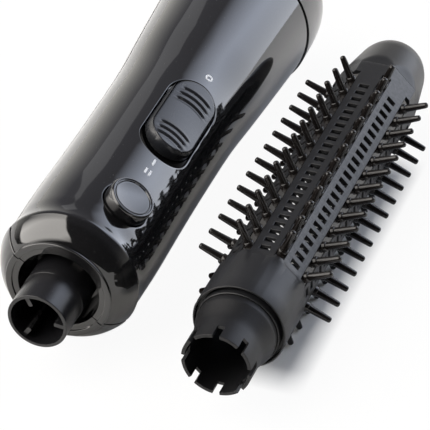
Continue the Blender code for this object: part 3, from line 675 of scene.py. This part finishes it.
glass_filled = moulded_plastic("glass_filled_nylon", (0.008, 0.008, 0.009), (0.06, 0.06, 0.06),
                               0.22, 0.05, 0.016, 1.1, 0.4, shine=0.45)
spigot = finish_piece("spigot_tube_ribbed", spigot_body(), handle_place, glass_filled, 40.0)
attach(spigot, "handle")
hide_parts("spigot_tube")


# ---------------------------------------------------------------- release button
# A round gloss-black key with a dished, twice-ringed face and a tall skirt. Pressed, it rocks the
# latch that frees the brush. Two hooks under the shell keep it in its hole.

BUTTON_OUTLINE = [(17.9, 0.0, 0), (17.9, 7.1, 0.2), (24.75, 7.1, 0.25), (25.3, 6.75, 0.2), (25.3, 6.3, 0.1),
                  (24.9, 6.2, 0.05), (24.9, 5.95, 0.05), (25.25, 5.85, 0.08), (25.25, 5.65, 0.1),
                  (24.9, 5.5, 0.05)]
DISH_EDGE, DISH_RADIUS, DISH_FLOOR = 24.9, 5.45, 24.5


def button_body():
    """Outline of (height, radius) turned about the button's own upright axis, with a shallow bowl."""
    out = np.linspace(1.0, 0.0, 12)
    dish = np.stack([DISH_FLOOR + (DISH_EDGE - DISH_FLOOR) * out ** 2.2, DISH_RADIUS * out], axis=1)
    outline = np.vstack([eased(BUTTON_OUTLINE), dish])
    grid = around_axis(outline, full_turn(72))
    return body_of(np.stack([grid[..., 0], BUTTON_AT + grid[..., 2], grid[..., 1]], axis=-1))


button = finish_piece("release_button_key", button_body(), handle_place, piano_black, 28.0)
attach(button, "button")
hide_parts("release_button")


# ---------------------------------------------------------------- power slider
# The thumb slider for off and two speeds, moulded in satin grey-black. Its crowned top carries
# three curved finger grooves at each end. A stem under it works the slide switch.

SLIDER_ENDS = (77.0, 94.1)     # ends of its middle line, standing at its rear position
SLIDER_HALF = 8.2
SLIDER_BASE, SLIDER_CROWN = 18.2, 23.0
SLIDER_SIDE = [(SLIDER_HALF, SLIDER_BASE), (0.3, SLIDER_BASE), (0.0, SLIDER_BASE + 0.3), (0.15, 20.5),
               (0.4, 22.3)]    # wall from the base's middle up: distance in from the side, level
SLIDER_EASE = 0.45
SLIDER_BOW, SLIDER_SAG = 0.9, 0.35
GROOVES = [72.5, 75.1, 77.7, 91.2, 93.8, 96.4]
GROOVE_REACH, GROOVE_BOW = 5.0, 0.03
GROOVE_DEPTH, LIP_HEIGHT = 0.5, 0.12


def slider_top(x, y):
    """Height of the top: crowned across, sagging a little between its ends, with curved grooves."""
    middle = sum(SLIDER_ENDS) / 2
    height = SLIDER_CROWN - SLIDER_BOW * (x / 8.0) ** 2 - SLIDER_SAG * np.exp(-((y - middle) / 9.0) ** 2)
    fade = 1 / (1 + np.exp((np.abs(x) - GROOVE_REACH) / 0.35))
    for station in GROOVES:
        away = y - station + GROOVE_BOW * x ** 2
        height -= fade * GROOVE_DEPTH * np.exp(-(away / 0.36) ** 2)
        height += fade * LIP_HEIGHT * np.exp(-((np.abs(away) - 0.85) / 0.4) ** 2)
    return height


def slider_body():
    """Rings of a round-ended slot from the base up the wall, round the edge and in to its middle."""
    side_y = np.linspace(*SLIDER_ENDS, 90)
    turn = np.linspace(0, math.pi, 42)[1:-1]
    middle = np.concatenate([side_y, np.full(40, side_y[-1]), side_y[::-1], np.full(40, side_y[0])])
    aim = np.concatenate([np.zeros(90), turn, np.full(90, math.pi), math.pi + turn])
    out = np.stack([np.cos(aim), np.sin(aim)], axis=1)

    def ring(inset):
        """The slot's outline, drawn in from the slider's side."""
        return out * (SLIDER_HALF - inset) + np.stack([np.zeros(len(middle)), middle], axis=1)

    rows = [np.column_stack([ring(inset), np.full(len(middle), level)]) for inset, level in SLIDER_SIDE]
    for t in np.linspace(0, math.pi / 2, 5):
        plan = ring(0.5 + SLIDER_EASE * (1 - math.cos(t)))
        rows.append(np.column_stack([plan, slider_top(*plan.T) - SLIDER_EASE * (1 - math.sin(t))]))
    for inset in np.linspace(0.5 + SLIDER_EASE, SLIDER_HALF, 24)[1:]:
        plan = ring(inset)
        rows.append(np.column_stack([plan, slider_top(*plan.T)]))
    return body_of(np.stack(rows))


slider_grey = moulded_plastic("slider_grey", (0.014, 0.015, 0.018), (0.12, 0.12, 0.12),
                              0.24, 0.05, 0.004, 0.8, 0.4)
slider = finish_piece("power_slider_cap", slider_body(), handle_place, slider_grey, 40.0)
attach(slider, "slider")
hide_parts("power_slider")


# ---------------------------------------------------------------- setting marks
# The off ring and the one and two bars, pad-printed in white ink on the shell beside the slider.
# The ink is a thin skin that follows the casing.

INK_LIFT = 0.05                # the ink's top, above the casing
INK_THICK = 0.02               # its underside, below the casing's surface
BAR_SHARE = 0.05               # a bar's inner loop against its outer; it is filled
MARKS = {"mark_off": [(0.0, 108.2, 1.3, 1.3, 0.5, 2.0)],
         "mark_one": [(0.0, 60.7, 0.36, 1.45, BAR_SHARE, 5.0)],
         "mark_two": [(-0.75, 55.7, 0.36, 1.3, BAR_SHARE, 5.0), (0.75, 55.7, 0.36, 1.3, BAR_SHARE, 5.0)]}


def ink_loop(x, y, half_width, half_length, power):
    """Closed outline of a rounded bar or a circle: a superellipse round (x, y)."""
    cosine, sine = np.cos(full_turn(40)), np.sin(full_turn(40))
    return np.stack([x + half_width * np.sign(cosine) * np.abs(cosine) ** (2 / power),
                     y + half_length * np.sign(sine) * np.abs(sine) ** (2 / power)], axis=1)


def add_ink(body, x, y, half_width, half_length, inner_share, power):
    """Add a thin closed patch on the casing: an outer loop and an inner one, open or filled."""
    line = spline(BODY, BODY_ROWS)
    outer = ink_loop(x, y, half_width, half_length, power)
    inner = ink_loop(x, y, half_width * inner_share, half_length * inner_share, power)
    rows = []
    for plan, lift in ((inner, INK_LIFT), (outer, INK_LIFT), (outer, -INK_THICK), (inner, -INK_THICK)):
        height = np.sqrt(np.interp(plan[:, 1], *line.T) ** 2 - plan[:, 0] ** 2) + lift
        rows.append(np.column_stack([plan, height]))
    numbers = body.add_points(np.stack(rows))
    filled = inner_share == BAR_SHARE
    body.add_grid(numbers, wrap_rows=not filled, wrap_columns=True)
    if filled:
        body.add_faces([numbers[0], numbers[-1, ::-1]])


white_ink = moulded_plastic("white_ink", (0.78, 0.8, 0.82), (0.5, 0.5, 0.5), 0.45, 0.1, 0.002, 0.5, 0.1)
for name, shapes in MARKS.items():
    ink = Body()
    for shape in shapes:
        add_ink(ink, *shape)
    mark = finish_piece(name, ink, handle_place, white_ink)
    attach(mark, "handle")


# ---------------------------------------------------------------- brush barrel
# The barrel is one moulding in satin charcoal nylon: round at its front, then eight flats with a
# ladder of 24 air vents down each, and a channel along each corner for a bristle strip.

brush_place = (np.eye(3), brush_origin)

ROWS = 8
ROW_STEP = math.tau / ROWS
HALF_ROW = math.degrees(ROW_STEP / 2)
BARREL_RADIUS = 14.0
BARREL_BORE = 12.0
BARREL_START, BARREL_END = 18.4, 148.6
RIM_EASE = 0.25
FLAT_RISE = 1.1                # how far the flats' planes stand off where the barrel is round
SEAM_DEPTH = 0.12              # the groove between two rows, ahead of the channels
FLAT_RADIUS = BARREL_RADIUS * math.cos(ROW_STEP / 2)
FLAT_START, FLAT_RUN = 35.5, 4.5
VENTS, VENT_START, VENT_PITCH, VENT_LENGTH = 24, 39.5, 4.05, 2.0
VENT_HALF = 1.6
VENT_DRAFT = 0.12              # how much each vent narrows towards the bore
VENT_EASE, VENT_BEVEL = 0.15, 0.1
CHANNEL_HALF, CHANNEL_FLOOR = 1.7, 12.65
CHANNEL_START, CHANNEL_END = 37.6, 142.0
CLOSE = 0.001                  # lengths and angles nearer than this are the same
BARREL_FRONT = [(18.4, 13.55), (18.5, 13.45), (20.5, 13.45), (20.5, 12.5), (17.35, 12.5), (17.2, 12.38),
                (17.2, 12.2), (17.35, 12.12), (19.0, 12.12)]      # rim, groove and sleeve: station, radius


def flat_share(station):
    """0 where the barrel is round, 1 where its flats are fully cut: a quarter-circle run-out."""
    q = np.clip((station - FLAT_START) / FLAT_RUN, 0, 1)
    return np.sqrt(np.clip(1 - (1 - q) ** 2, 0, 1))


def octagon(across, radius, station):
    """Point on the skin at a place across a flat, from -1 to 1: the lesser of round and flat."""
    angle = across * ROW_STEP / 2
    flat = FLAT_RADIUS / np.cos(angle) + FLAT_RISE * (1 - flat_share(station))
    return angle, np.minimum(radius, flat)


def on_brush(radius, station, angle):
    """Points round the brush's axis, each at an angle from +Z towards +X."""
    return np.stack([radius * np.sin(angle), station + 0 * angle, radius * np.cos(angle)], axis=-1)


def join_sheets(body, outer, inner, keep):
    """Two sheets of one grid round an axis, with the same cells left out, and walls round each hole.

    A wall joins the sheets wherever a kept cell lies beside one left out.
    """
    for numbers in (outer, inner):
        body.add_grid(numbers, wrap_columns=True, keep=keep)
    total = outer.shape[1]
    row, column = np.nonzero(keep != np.roll(keep, -1, axis=1))
    beside = (column + 1) % total
    body.add_faces(np.stack([outer[row, beside], outer[row + 1, beside], inner[row + 1, beside],
                             inner[row, beside]], axis=1))
    row, column = np.nonzero(keep[:-1] != keep[1:])
    beside = (column + 1) % total
    body.add_faces(np.stack([outer[row + 1, column], outer[row + 1, beside], inner[row + 1, beside],
                             inner[row + 1, column]], axis=1))


def barrel_body():
    """One flat's width of wall, from the middle of one channel to the next, repeated eight times.

    Columns run across the flat, rows along the barrel. Outside and inside are two sheets of the same
    grid; the vents' cells are left out of both and their edges joined.
    """
    wall = HALF_ROW - math.degrees(math.asin(CHANNEL_HALF / BARREL_RADIUS))
    vent = math.degrees(math.asin(VENT_HALF / FLAT_RADIUS))
    right = np.array([vent / 3, vent, vent + 0.5, 9.5, 12.0, wall - 0.5, wall, wall + 0.02, wall + 3.0])
    degrees = np.concatenate([[-HALF_ROW], -right[::-1], right])
    first = VENT_START + VENT_PITCH * np.arange(VENTS)
    last = first + VENT_LENGTH
    stations = np.unique(np.round(np.concatenate([
        [BARREL_START, 18.42, 18.5, BARREL_START + RIM_EASE, 24.0, 30.0],
        np.linspace(FLAT_START, FLAT_START + FLAT_RUN - 0.6, 9),
        [CHANNEL_START, CHANNEL_START + 0.02, 135.5, 138.0, CHANNEL_END, CHANNEL_END + 0.02],
        first - VENT_EASE, first, last, last + VENT_EASE, np.linspace(143.5, BARREL_END, 4)]), 4))
    station = stations[:, None]
    into_rim = np.clip(BARREL_START + RIM_EASE - station, 0, RIM_EASE)
    rim_drop = RIM_EASE - np.sqrt(RIM_EASE ** 2 - into_rim ** 2)
    angle, radius = octagon(degrees[None, :] / HALF_ROW, BARREL_RADIUS - rim_drop, station)
    angle = angle + 0 * station
    in_channel = (np.abs(degrees) > wall + 0.01)[None, :] & (station > CHANNEL_START + 0.01)
    in_channel = in_channel & (station < CHANNEL_END + 0.01)
    seam = (degrees == -HALF_ROW)[None, :] & ~in_channel & (station < CHANNEL_START)
    at_vent = np.abs(degrees) < vent + CLOSE
    starts = np.isin(stations, np.round(first, 4))[:, None]
    stops = np.isin(stations, np.round(last, 4))[:, None]
    outer = np.where(in_channel, CHANNEL_FLOOR, radius) - SEAM_DEPTH * seam
    outer = outer - VENT_BEVEL * (at_vent[None, :] & (starts | stops))
    drafted = angle * np.where(at_vent, 1 - VENT_DRAFT, 1.0)
    drafted_station = station + VENT_DRAFT * (1.0 * starts - stops)
    bore = np.full_like(outer, BARREL_BORE)
    row_turn = np.repeat(np.arange(ROWS), len(degrees)) * ROW_STEP
    body = Body()
    sheets = []
    for sheet, turn_in, along in ((outer, angle, station), (bore, drafted, drafted_station)):
        turned = on_brush(np.tile(sheet, ROWS), along, np.tile(turn_in, ROWS) + row_turn)
        sheets.append(body.add_points(turned))
    open_rows = (station[:-1] > first - CLOSE) & (station[1:] < last + CLOSE)
    open_columns = at_vent & np.append(at_vent[1:], False)
    keep = ~(open_rows.any(axis=1)[:, None] & np.tile(open_columns, ROWS)[None, :])
    join_sheets(body, *sheets, keep)
    front = np.array(BARREL_FRONT)
    rings = body.add_points(on_brush(front[:, 1:], front[:, :1], np.tile(angle[0], ROWS) + row_turn))
    body.add_grid(np.vstack([sheets[0][:1], rings, sheets[1][:1]]), wrap_columns=True)
    body.add_grid(np.stack([sheets[0][-1], sheets[1][-1]]), wrap_columns=True)
    return body


charcoal = moulded_plastic("charcoal_nylon", (0.010, 0.0102, 0.0115), (0.08, 0.08, 0.08),
                           0.36, 0.07, 0.012, 1.2, 0.5, shine=0.32)
barrel = finish_piece("brush_barrel_moulding", barrel_body(), brush_place, charcoal, 26.0)
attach(barrel, "brush")
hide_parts("brush_barrel")


# ---------------------------------------------------------------- bristle strips
# Eight strips in soft glossy nylon, slid into the channels. Each is a thin rail with thirteen
# tapered bristles, and every bristle stands on its own round foot.

BRISTLES, BRISTLE_START, BRISTLE_PITCH = 13, 40.8, 8.0
RAIL_HALF, RAIL_TOP, RAIL_BOTTOM = 1.35, 13.2, 12.8
RAIL_ENDS = (CHANNEL_START + 0.3, CHANNEL_END - 1.2)
BRISTLE_SIDES = 12
BRISTLE_OUTLINE = [(12.9, 1.6), (14.3, 1.6), (14.5, 1.45), (14.55, 1.24), (17.0, 1.12), (21.3, 0.93),
                   (21.72, 0.84), (21.95, 0.55), (22.05, 0.0)]


def strip_body(row):
    """A rail, and bristles turned from one outline of (distance from the brush's axis, radius)."""
    body = Body()
    rail_x = RAIL_HALF * np.array([-1.0, 1.0, 1.0, -1.0])
    rail_z = np.array([RAIL_BOTTOM, RAIL_BOTTOM, RAIL_TOP, RAIL_TOP])
    section = [np.stack([rail_x, np.full(4, end), rail_z], axis=1) for end in RAIL_ENDS]
    numbers = body.add_points(section)
    body.add_grid(numbers, wrap_columns=True)
    body.add_faces(numbers)
    outline = np.array(BRISTLE_OUTLINE)
    turn = full_turn(BRISTLE_SIDES)
    radius = outline[:, 1][:, None]
    height = outline[:, 0][:, None] + 0 * turn
    for k in range(BRISTLES):
        centre = BRISTLE_START + BRISTLE_PITCH * k
        points = [radius * np.cos(turn), centre + radius * np.sin(turn), height]
        numbers = body.add_points(np.stack(points, axis=-1))
        body.add_grid(numbers, wrap_columns=True)
        body.add_faces([numbers[0]])
    angle = ROW_STEP * (row + 0.5)
    turned = np.vstack(body.points)
    x, z = turned[:, 0].copy(), turned[:, 2].copy()
    turned[:, 0] = z * math.sin(angle) + x * math.cos(angle)
    turned[:, 2] = z * math.cos(angle) - x * math.sin(angle)
    body.points = [turned]
    return body


bristle_black = moulded_plastic("bristle_black", (0.006, 0.0048, 0.0045), (0.03, 0.027, 0.025),
                                0.13, 0.04, 0.002, 0.8, 0.2, shine=0.4)
for row in range(ROWS):
    strip = finish_piece(f"bristle_strip_moulding_{row + 1}", strip_body(row), brush_place,
                         bristle_black, 50.0)
    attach(strip, "brush")
    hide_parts(f"bristle_strip_{row + 1}")


# ---------------------------------------------------------------- brush connector
# The socket end that slides over the spigot: a crown with eight notches for the latch, flaring to
# a flange. It is moulded in satin black nylon and plugged into the barrel.

CONNECTOR_RADIUS, CONNECTOR_BORE = 10.43, 9.4
CONNECTOR_OUTSIDE = [(0.0, CONNECTOR_BORE, 0), (0.0, CONNECTOR_RADIUS, 0.15), (9.2, CONNECTOR_RADIUS, 1.5),
                     (12.6, 11.3, 1.6), (15.2, 12.05, 0.3), (17.9, 12.05, 0.15), (17.9, 11.4, 0.1),
                     (30.0, 11.4, 0.2), (30.0, CONNECTOR_BORE, 0)]
NOTCH_HALF, NOTCH_DEPTH, NOTCH_EASE = 1.05, 4.5, 0.12


def connector_body():
    """Outside and bore as two sheets of one grid, with eight notches left out of both at the front."""
    half = math.asin(NOTCH_HALF / 10.0)
    ease = math.asin(NOTCH_EASE / 10.0)
    offsets = np.array([-half - ease, -half, -half / 3, half / 3, half, half + ease])
    between = np.linspace(half + ease, ROW_STEP - half - ease, 8)[1:-1]
    columns = np.concatenate([offsets, between])
    angles = (np.arange(ROWS)[:, None] * ROW_STEP + columns).ravel()
    outside = eased(CONNECTOR_OUTSIDE)
    front = outside[outside[:, 0] < NOTCH_DEPTH]
    rest = outside[outside[:, 0] >= NOTCH_DEPTH]
    cut = [(NOTCH_DEPTH, CONNECTOR_RADIUS), (NOTCH_DEPTH + NOTCH_EASE, CONNECTOR_RADIUS)]
    outline = np.vstack([front[1:], cut, rest[:-1]])
    bore = np.stack([outline[:, 0], np.full(len(outline), CONNECTOR_BORE)], axis=1)
    in_notch = np.tile(np.isin(np.arange(len(columns)), [1, 2, 3]), ROWS)
    keep = ~((outline[1:, 0] <= NOTCH_DEPTH)[:, None] & in_notch[None, :])
    body = Body()
    outer_numbers = body.add_points(around_axis(outline, angles))
    inner_numbers = body.add_points(around_axis(bore, angles))
    join_sheets(body, outer_numbers, inner_numbers, keep)
    here = np.flatnonzero(~in_notch)
    beside = (here + 1) % len(angles)
    body.add_faces(np.stack([outer_numbers[0, here], outer_numbers[0, beside],
                             inner_numbers[0, beside], inner_numbers[0, here]], axis=1))
    body.add_grid(np.stack([outer_numbers[-1], inner_numbers[-1]]), wrap_columns=True)
    return body


satin_black = moulded_plastic("satin_black", (0.006, 0.006, 0.0068), (0.05, 0.05, 0.05),
                              0.42, 0.08, 0.012, 0.9, 0.4, shine=0.3)
connector = finish_piece("brush_connector_crown", connector_body(), brush_place, satin_black, 32.0)
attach(connector, "brush")
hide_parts("brush_connector")


# ---------------------------------------------------------------- tip cap
# The cool tip: a hollow tapered cap in the barrel's charcoal nylon, plugged into its far end. The
# barrel's flats run out on it in round arches.

TIP_OUTLINE = [(143.5, 11.6, 0), (148.7, 11.6, 0.1), (148.7, 13.95, 0.04), (152.5, 13.25, 1.5),
               (165.8, 11.3, 2.5), (170.2, 9.4, 2.2), (172.0, 5.5, 2.4), (172.2, 0.0, 0)]
TIP_INSIDE = [(168.9, 0.0, 0), (168.0, 7.0, 1.0), (165.0, 9.4, 1.0), (143.5, 10.5, 0)]
TIP_SIDES = 128
SKIRT_ENDS = (149.0, 151.5)
RUN_OUT, RUN_OUT_WIDTH = 152.4, 0.9    # where the flats have half faded, and how fast


def tip_body():
    """A turned cap whose front end is cut by the barrel's flats, fading along the cap; hollow inside.

    The row of cells between the two poles, outside and inside, is left out.
    """
    outside = eased(TIP_OUTLINE, 8)
    skirt = np.linspace(*SKIRT_ENDS, 7)
    skirt = np.stack([skirt, np.interp(skirt, [148.8, 152.5], [13.93, 13.25])], axis=1)
    before = outside[:np.searchsorted(outside[:, 0], SKIRT_ENDS[0])]
    after = outside[len(before):]
    outside = np.vstack([before, skirt, after[after[:, 0] > SKIRT_ENDS[1]]])
    angles = full_turn(TIP_SIDES)
    from_flat = (angles + ROW_STEP / 2) % ROW_STEP - ROW_STEP / 2
    grid = around_axis(np.vstack([outside, eased(TIP_INSIDE)]), angles)
    station = grid[..., 1]
    radius = np.hypot(grid[..., 0], grid[..., 2])
    runs_out = 1 / (1 + np.exp((RUN_OUT - station) / RUN_OUT_WIDTH))
    limit = FLAT_RADIUS / np.cos(from_flat)[None, :]
    on_skirt = (np.arange(len(grid)) < len(outside))[:, None] & (station > 148.0)
    held = np.minimum(1.0, limit / np.maximum(radius, 1e-6))
    cut = np.where(on_skirt, held + (1 - held) * runs_out, 1.0)
    grid[..., [0, 2]] *= cut[..., None]
    keep = np.ones((len(grid), len(angles)), bool)
    keep[len(outside) - 1] = False
    return body_of(grid, wrap_rows=True, keep=keep)


tip = finish_piece("tip_cap_dome", tip_body(), brush_place, charcoal, 32.0)
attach(tip, "brush")
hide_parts("tip_cap")


# ---------------------------------------------------------------- rear cap and cord gland
# The air inlet: a gloss black cap pressed over the shells' rear end, with fourteen radial slots round
# a swivelling gland of satin nylon. The cap's tongue sits inside the shells.

CAP_OUTSIDE = [(168.3, 22.9, 0), (168.3, 26.2, 0.3), (180.0, 26.1, 2.0), (186.0, 25.6, 2.5),
               (190.2, 23.6, 2.4), (192.2, 19.9, 2.0), (192.9, 14.0, 2.0), (193.0, 6.4, 0.3),
               (191.2, 6.4, 0)]
CAP_INSIDE = [(191.2, 6.5, 0), (191.0, 14.0, 1.0), (190.2, 18.8, 1.0), (188.0, 21.8, 1.0),
              (185.0, 22.9, 1.0), (176.0, 22.6, 1.0), (163.0, 22.2, 0.3), (163.0, 22.9, 0.2),
              (168.3, 22.9, 0)]
CAP_HUB = [(193.0, 6.45), (192.8, 6.4), (191.3, 6.4), (191.2, 6.5)]
FACE_RADIUS, HUB_RADIUS = 21.4, 6.7    # the flat part of the rear face
SLOTS = 14
SLOT_HALF = math.radians(4.6)
SLOT_FIRST = math.radians(-5.0)
SLOT_RADII = (9.6, 20.2)


def cap_body():
    """Outside and inside turned from outlines read at the same radii across the rear face.

    The slots are wedges: the same cells are left out of both sheets between two radii.
    """
    step = math.tau / SLOTS
    offsets = np.concatenate([np.linspace(-SLOT_HALF, SLOT_HALF, 5),
                              np.linspace(SLOT_HALF, step - SLOT_HALF, 8)[1:-1]])
    angles = SLOT_FIRST + (np.arange(SLOTS)[:, None] * step + offsets).ravel()
    outside, inside = eased(CAP_OUTSIDE, 6), eased(CAP_INSIDE, 6)
    radii = np.concatenate([np.linspace(FACE_RADIUS, SLOT_RADII[1], 3),
                            np.linspace(*SLOT_RADII[::-1], 12)[1:],
                            np.linspace(SLOT_RADII[0], HUB_RADIUS, 4)[1:]])
    rear = outside[outside[:, 0] > 186.0][::-1]
    cavity = inside[inside[:, 0] > 186.0]
    body = Body()
    sheets = []
    for face in (rear, cavity):
        line = np.stack([np.interp(radii, face[:, 1], face[:, 0]), radii], axis=1)
        sheets.append(body.add_points(around_axis(line, angles)))
    outer, inner = sheets
    middle = (radii[:-1] + radii[1:]) / 2
    cut_rows = (middle > SLOT_RADII[0]) & (middle < SLOT_RADII[1])
    cut_columns = np.tile(np.arange(len(offsets)) < 4, SLOTS)
    join_sheets(body, outer, inner, ~(cut_rows[:, None] & cut_columns[None, :]))
    hub = body.add_points(around_axis(np.array(CAP_HUB), angles))
    body.add_grid(np.vstack([outer[-1:], hub, inner[-1:]]), wrap_columns=True)
    before = outside[(outside[:, 1] > FACE_RADIUS + 0.05) & (outside[:, 0] < 192.5)]
    after = inside[inside[:, 1] > FACE_RADIUS + 0.05]
    skirt = body.add_points(around_axis(np.vstack([after, before[1:]]), angles))
    body.add_grid(np.vstack([inner[:1], skirt, outer[:1]]), wrap_columns=True)
    return body


GLAND_OUTLINE = [(184.0, 3.3, 0), (184.0, 5.9, 0.2), (193.3, 5.9, 0.05), (193.3, 7.8, 0.3), (195.0, 7.8, 0.5),
                 (196.2, 6.9, 0.2), (196.6, 7.1, 0.2), (197.4, 6.5, 0.2), (197.7, 6.6, 0.15),
                 (199.0, 5.7, 0.4), (199.0, 3.3, 0.3), (184.0, 3.3, 0)]
gland_body = body_of(around_axis(eased(GLAND_OUTLINE), full_turn(64)))

inlet_cap = finish_piece("inlet_cap_slotted", cap_body(), handle_place, piano_black, 30.0)
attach(inlet_cap, "handle")
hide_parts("inlet_cap")

cord_gland = finish_piece("cord_gland_ringed", gland_body, handle_place, satin_black, 30.0)
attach(cord_gland, "swivel")
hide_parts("cord_gland")


# ---------------------------------------------------------------- inside pieces and fasteners
# What the casing holds: heater, motor, fan, switch, latch, leads and screws. Each keeps its plain
# machined or moulded shape and only takes its own finish.

pale_nylon = moulded_plastic("pale_nylon", (0.5, 0.49, 0.45), (0.7, 0.7, 0.68), 0.45, 0.1, 0.01)
foam = moulded_plastic("filter_foam", (0.03, 0.03, 0.032), (0.06, 0.06, 0.06), 0.9, 0.05, 0.3, 2.0)
lead_red = moulded_plastic("lead_red", (0.35, 0.02, 0.015), (0.4, 0.1, 0.1), 0.4, 0.1, 0.006)
lead_blue = moulded_plastic("lead_blue", (0.02, 0.05, 0.3), (0.1, 0.15, 0.4), 0.4, 0.1, 0.006)
mica = moulded_plastic("mica", (0.42, 0.34, 0.2), (0.6, 0.5, 0.35), 0.5, 0.2, 0.03, 3.0)
board_green = moulded_plastic("circuit_board", (0.02, 0.11, 0.035), (0.3, 0.28, 0.1), 0.35, 0.1, 0.01)


def drawn_metal(name, colour, roughness):
    """Drawn or stamped metal: fine lines along the part and small stains."""
    material, tree, shader, coordinate = new_material(name)
    lines = noise(tree, coordinate, 900.0, 4.0, (1.0, 0.05, 1.0))
    stains = ranged(tree, noise(tree, coordinate, 180.0, 3.0), 0.4, 0.7, 0.0, 1.0)
    stained = mixed(tree, stains, colour, tuple(0.7 * channel for channel in colour))
    link(tree, stained, shader.inputs["Base Color"])
    link(tree, ranged(tree, lines, 0.3, 0.7, roughness, roughness + 0.2), shader.inputs["Roughness"])
    bumped(tree, shader, lines, 0.005)
    shader.inputs["Metallic"].default_value = 1.0
    return material


steel = drawn_metal("steel", (0.5, 0.5, 0.51), 0.25)
nichrome = drawn_metal("nichrome", (0.36, 0.33, 0.29), 0.35)
FINISHES = {
    "shell_screw": steel, "latch_spring": steel, "latch_pin": steel, "motor_can": steel, "motor_shaft": steel,
    "thermostat": steel, "heater_coil": nichrome, "heater_sleeve": mica, "heater_board": mica,
    "switch_board": board_green, "rectifier_board": board_green, "release_latch": pale_nylon,
    "switch_lever": pale_nylon, "gland_clip": pale_nylon, "fan": pale_nylon, "motor_mount": pale_nylon,
    "thermal_fuse": pale_nylon, "dust_filter": foam, "live_lead": lead_red, "neutral_lead": lead_blue,
    "rectifier_diode": satin_black, "slide_switch": satin_black, "air_duct": satin_black,
}
for name, node in frame["nodes"].items():
    finish = [FINISHES[key] for key in FINISHES if name.startswith(key)]
    if finish:
        node.data.materials.clear()
        node.data.materials.append(finish[0])
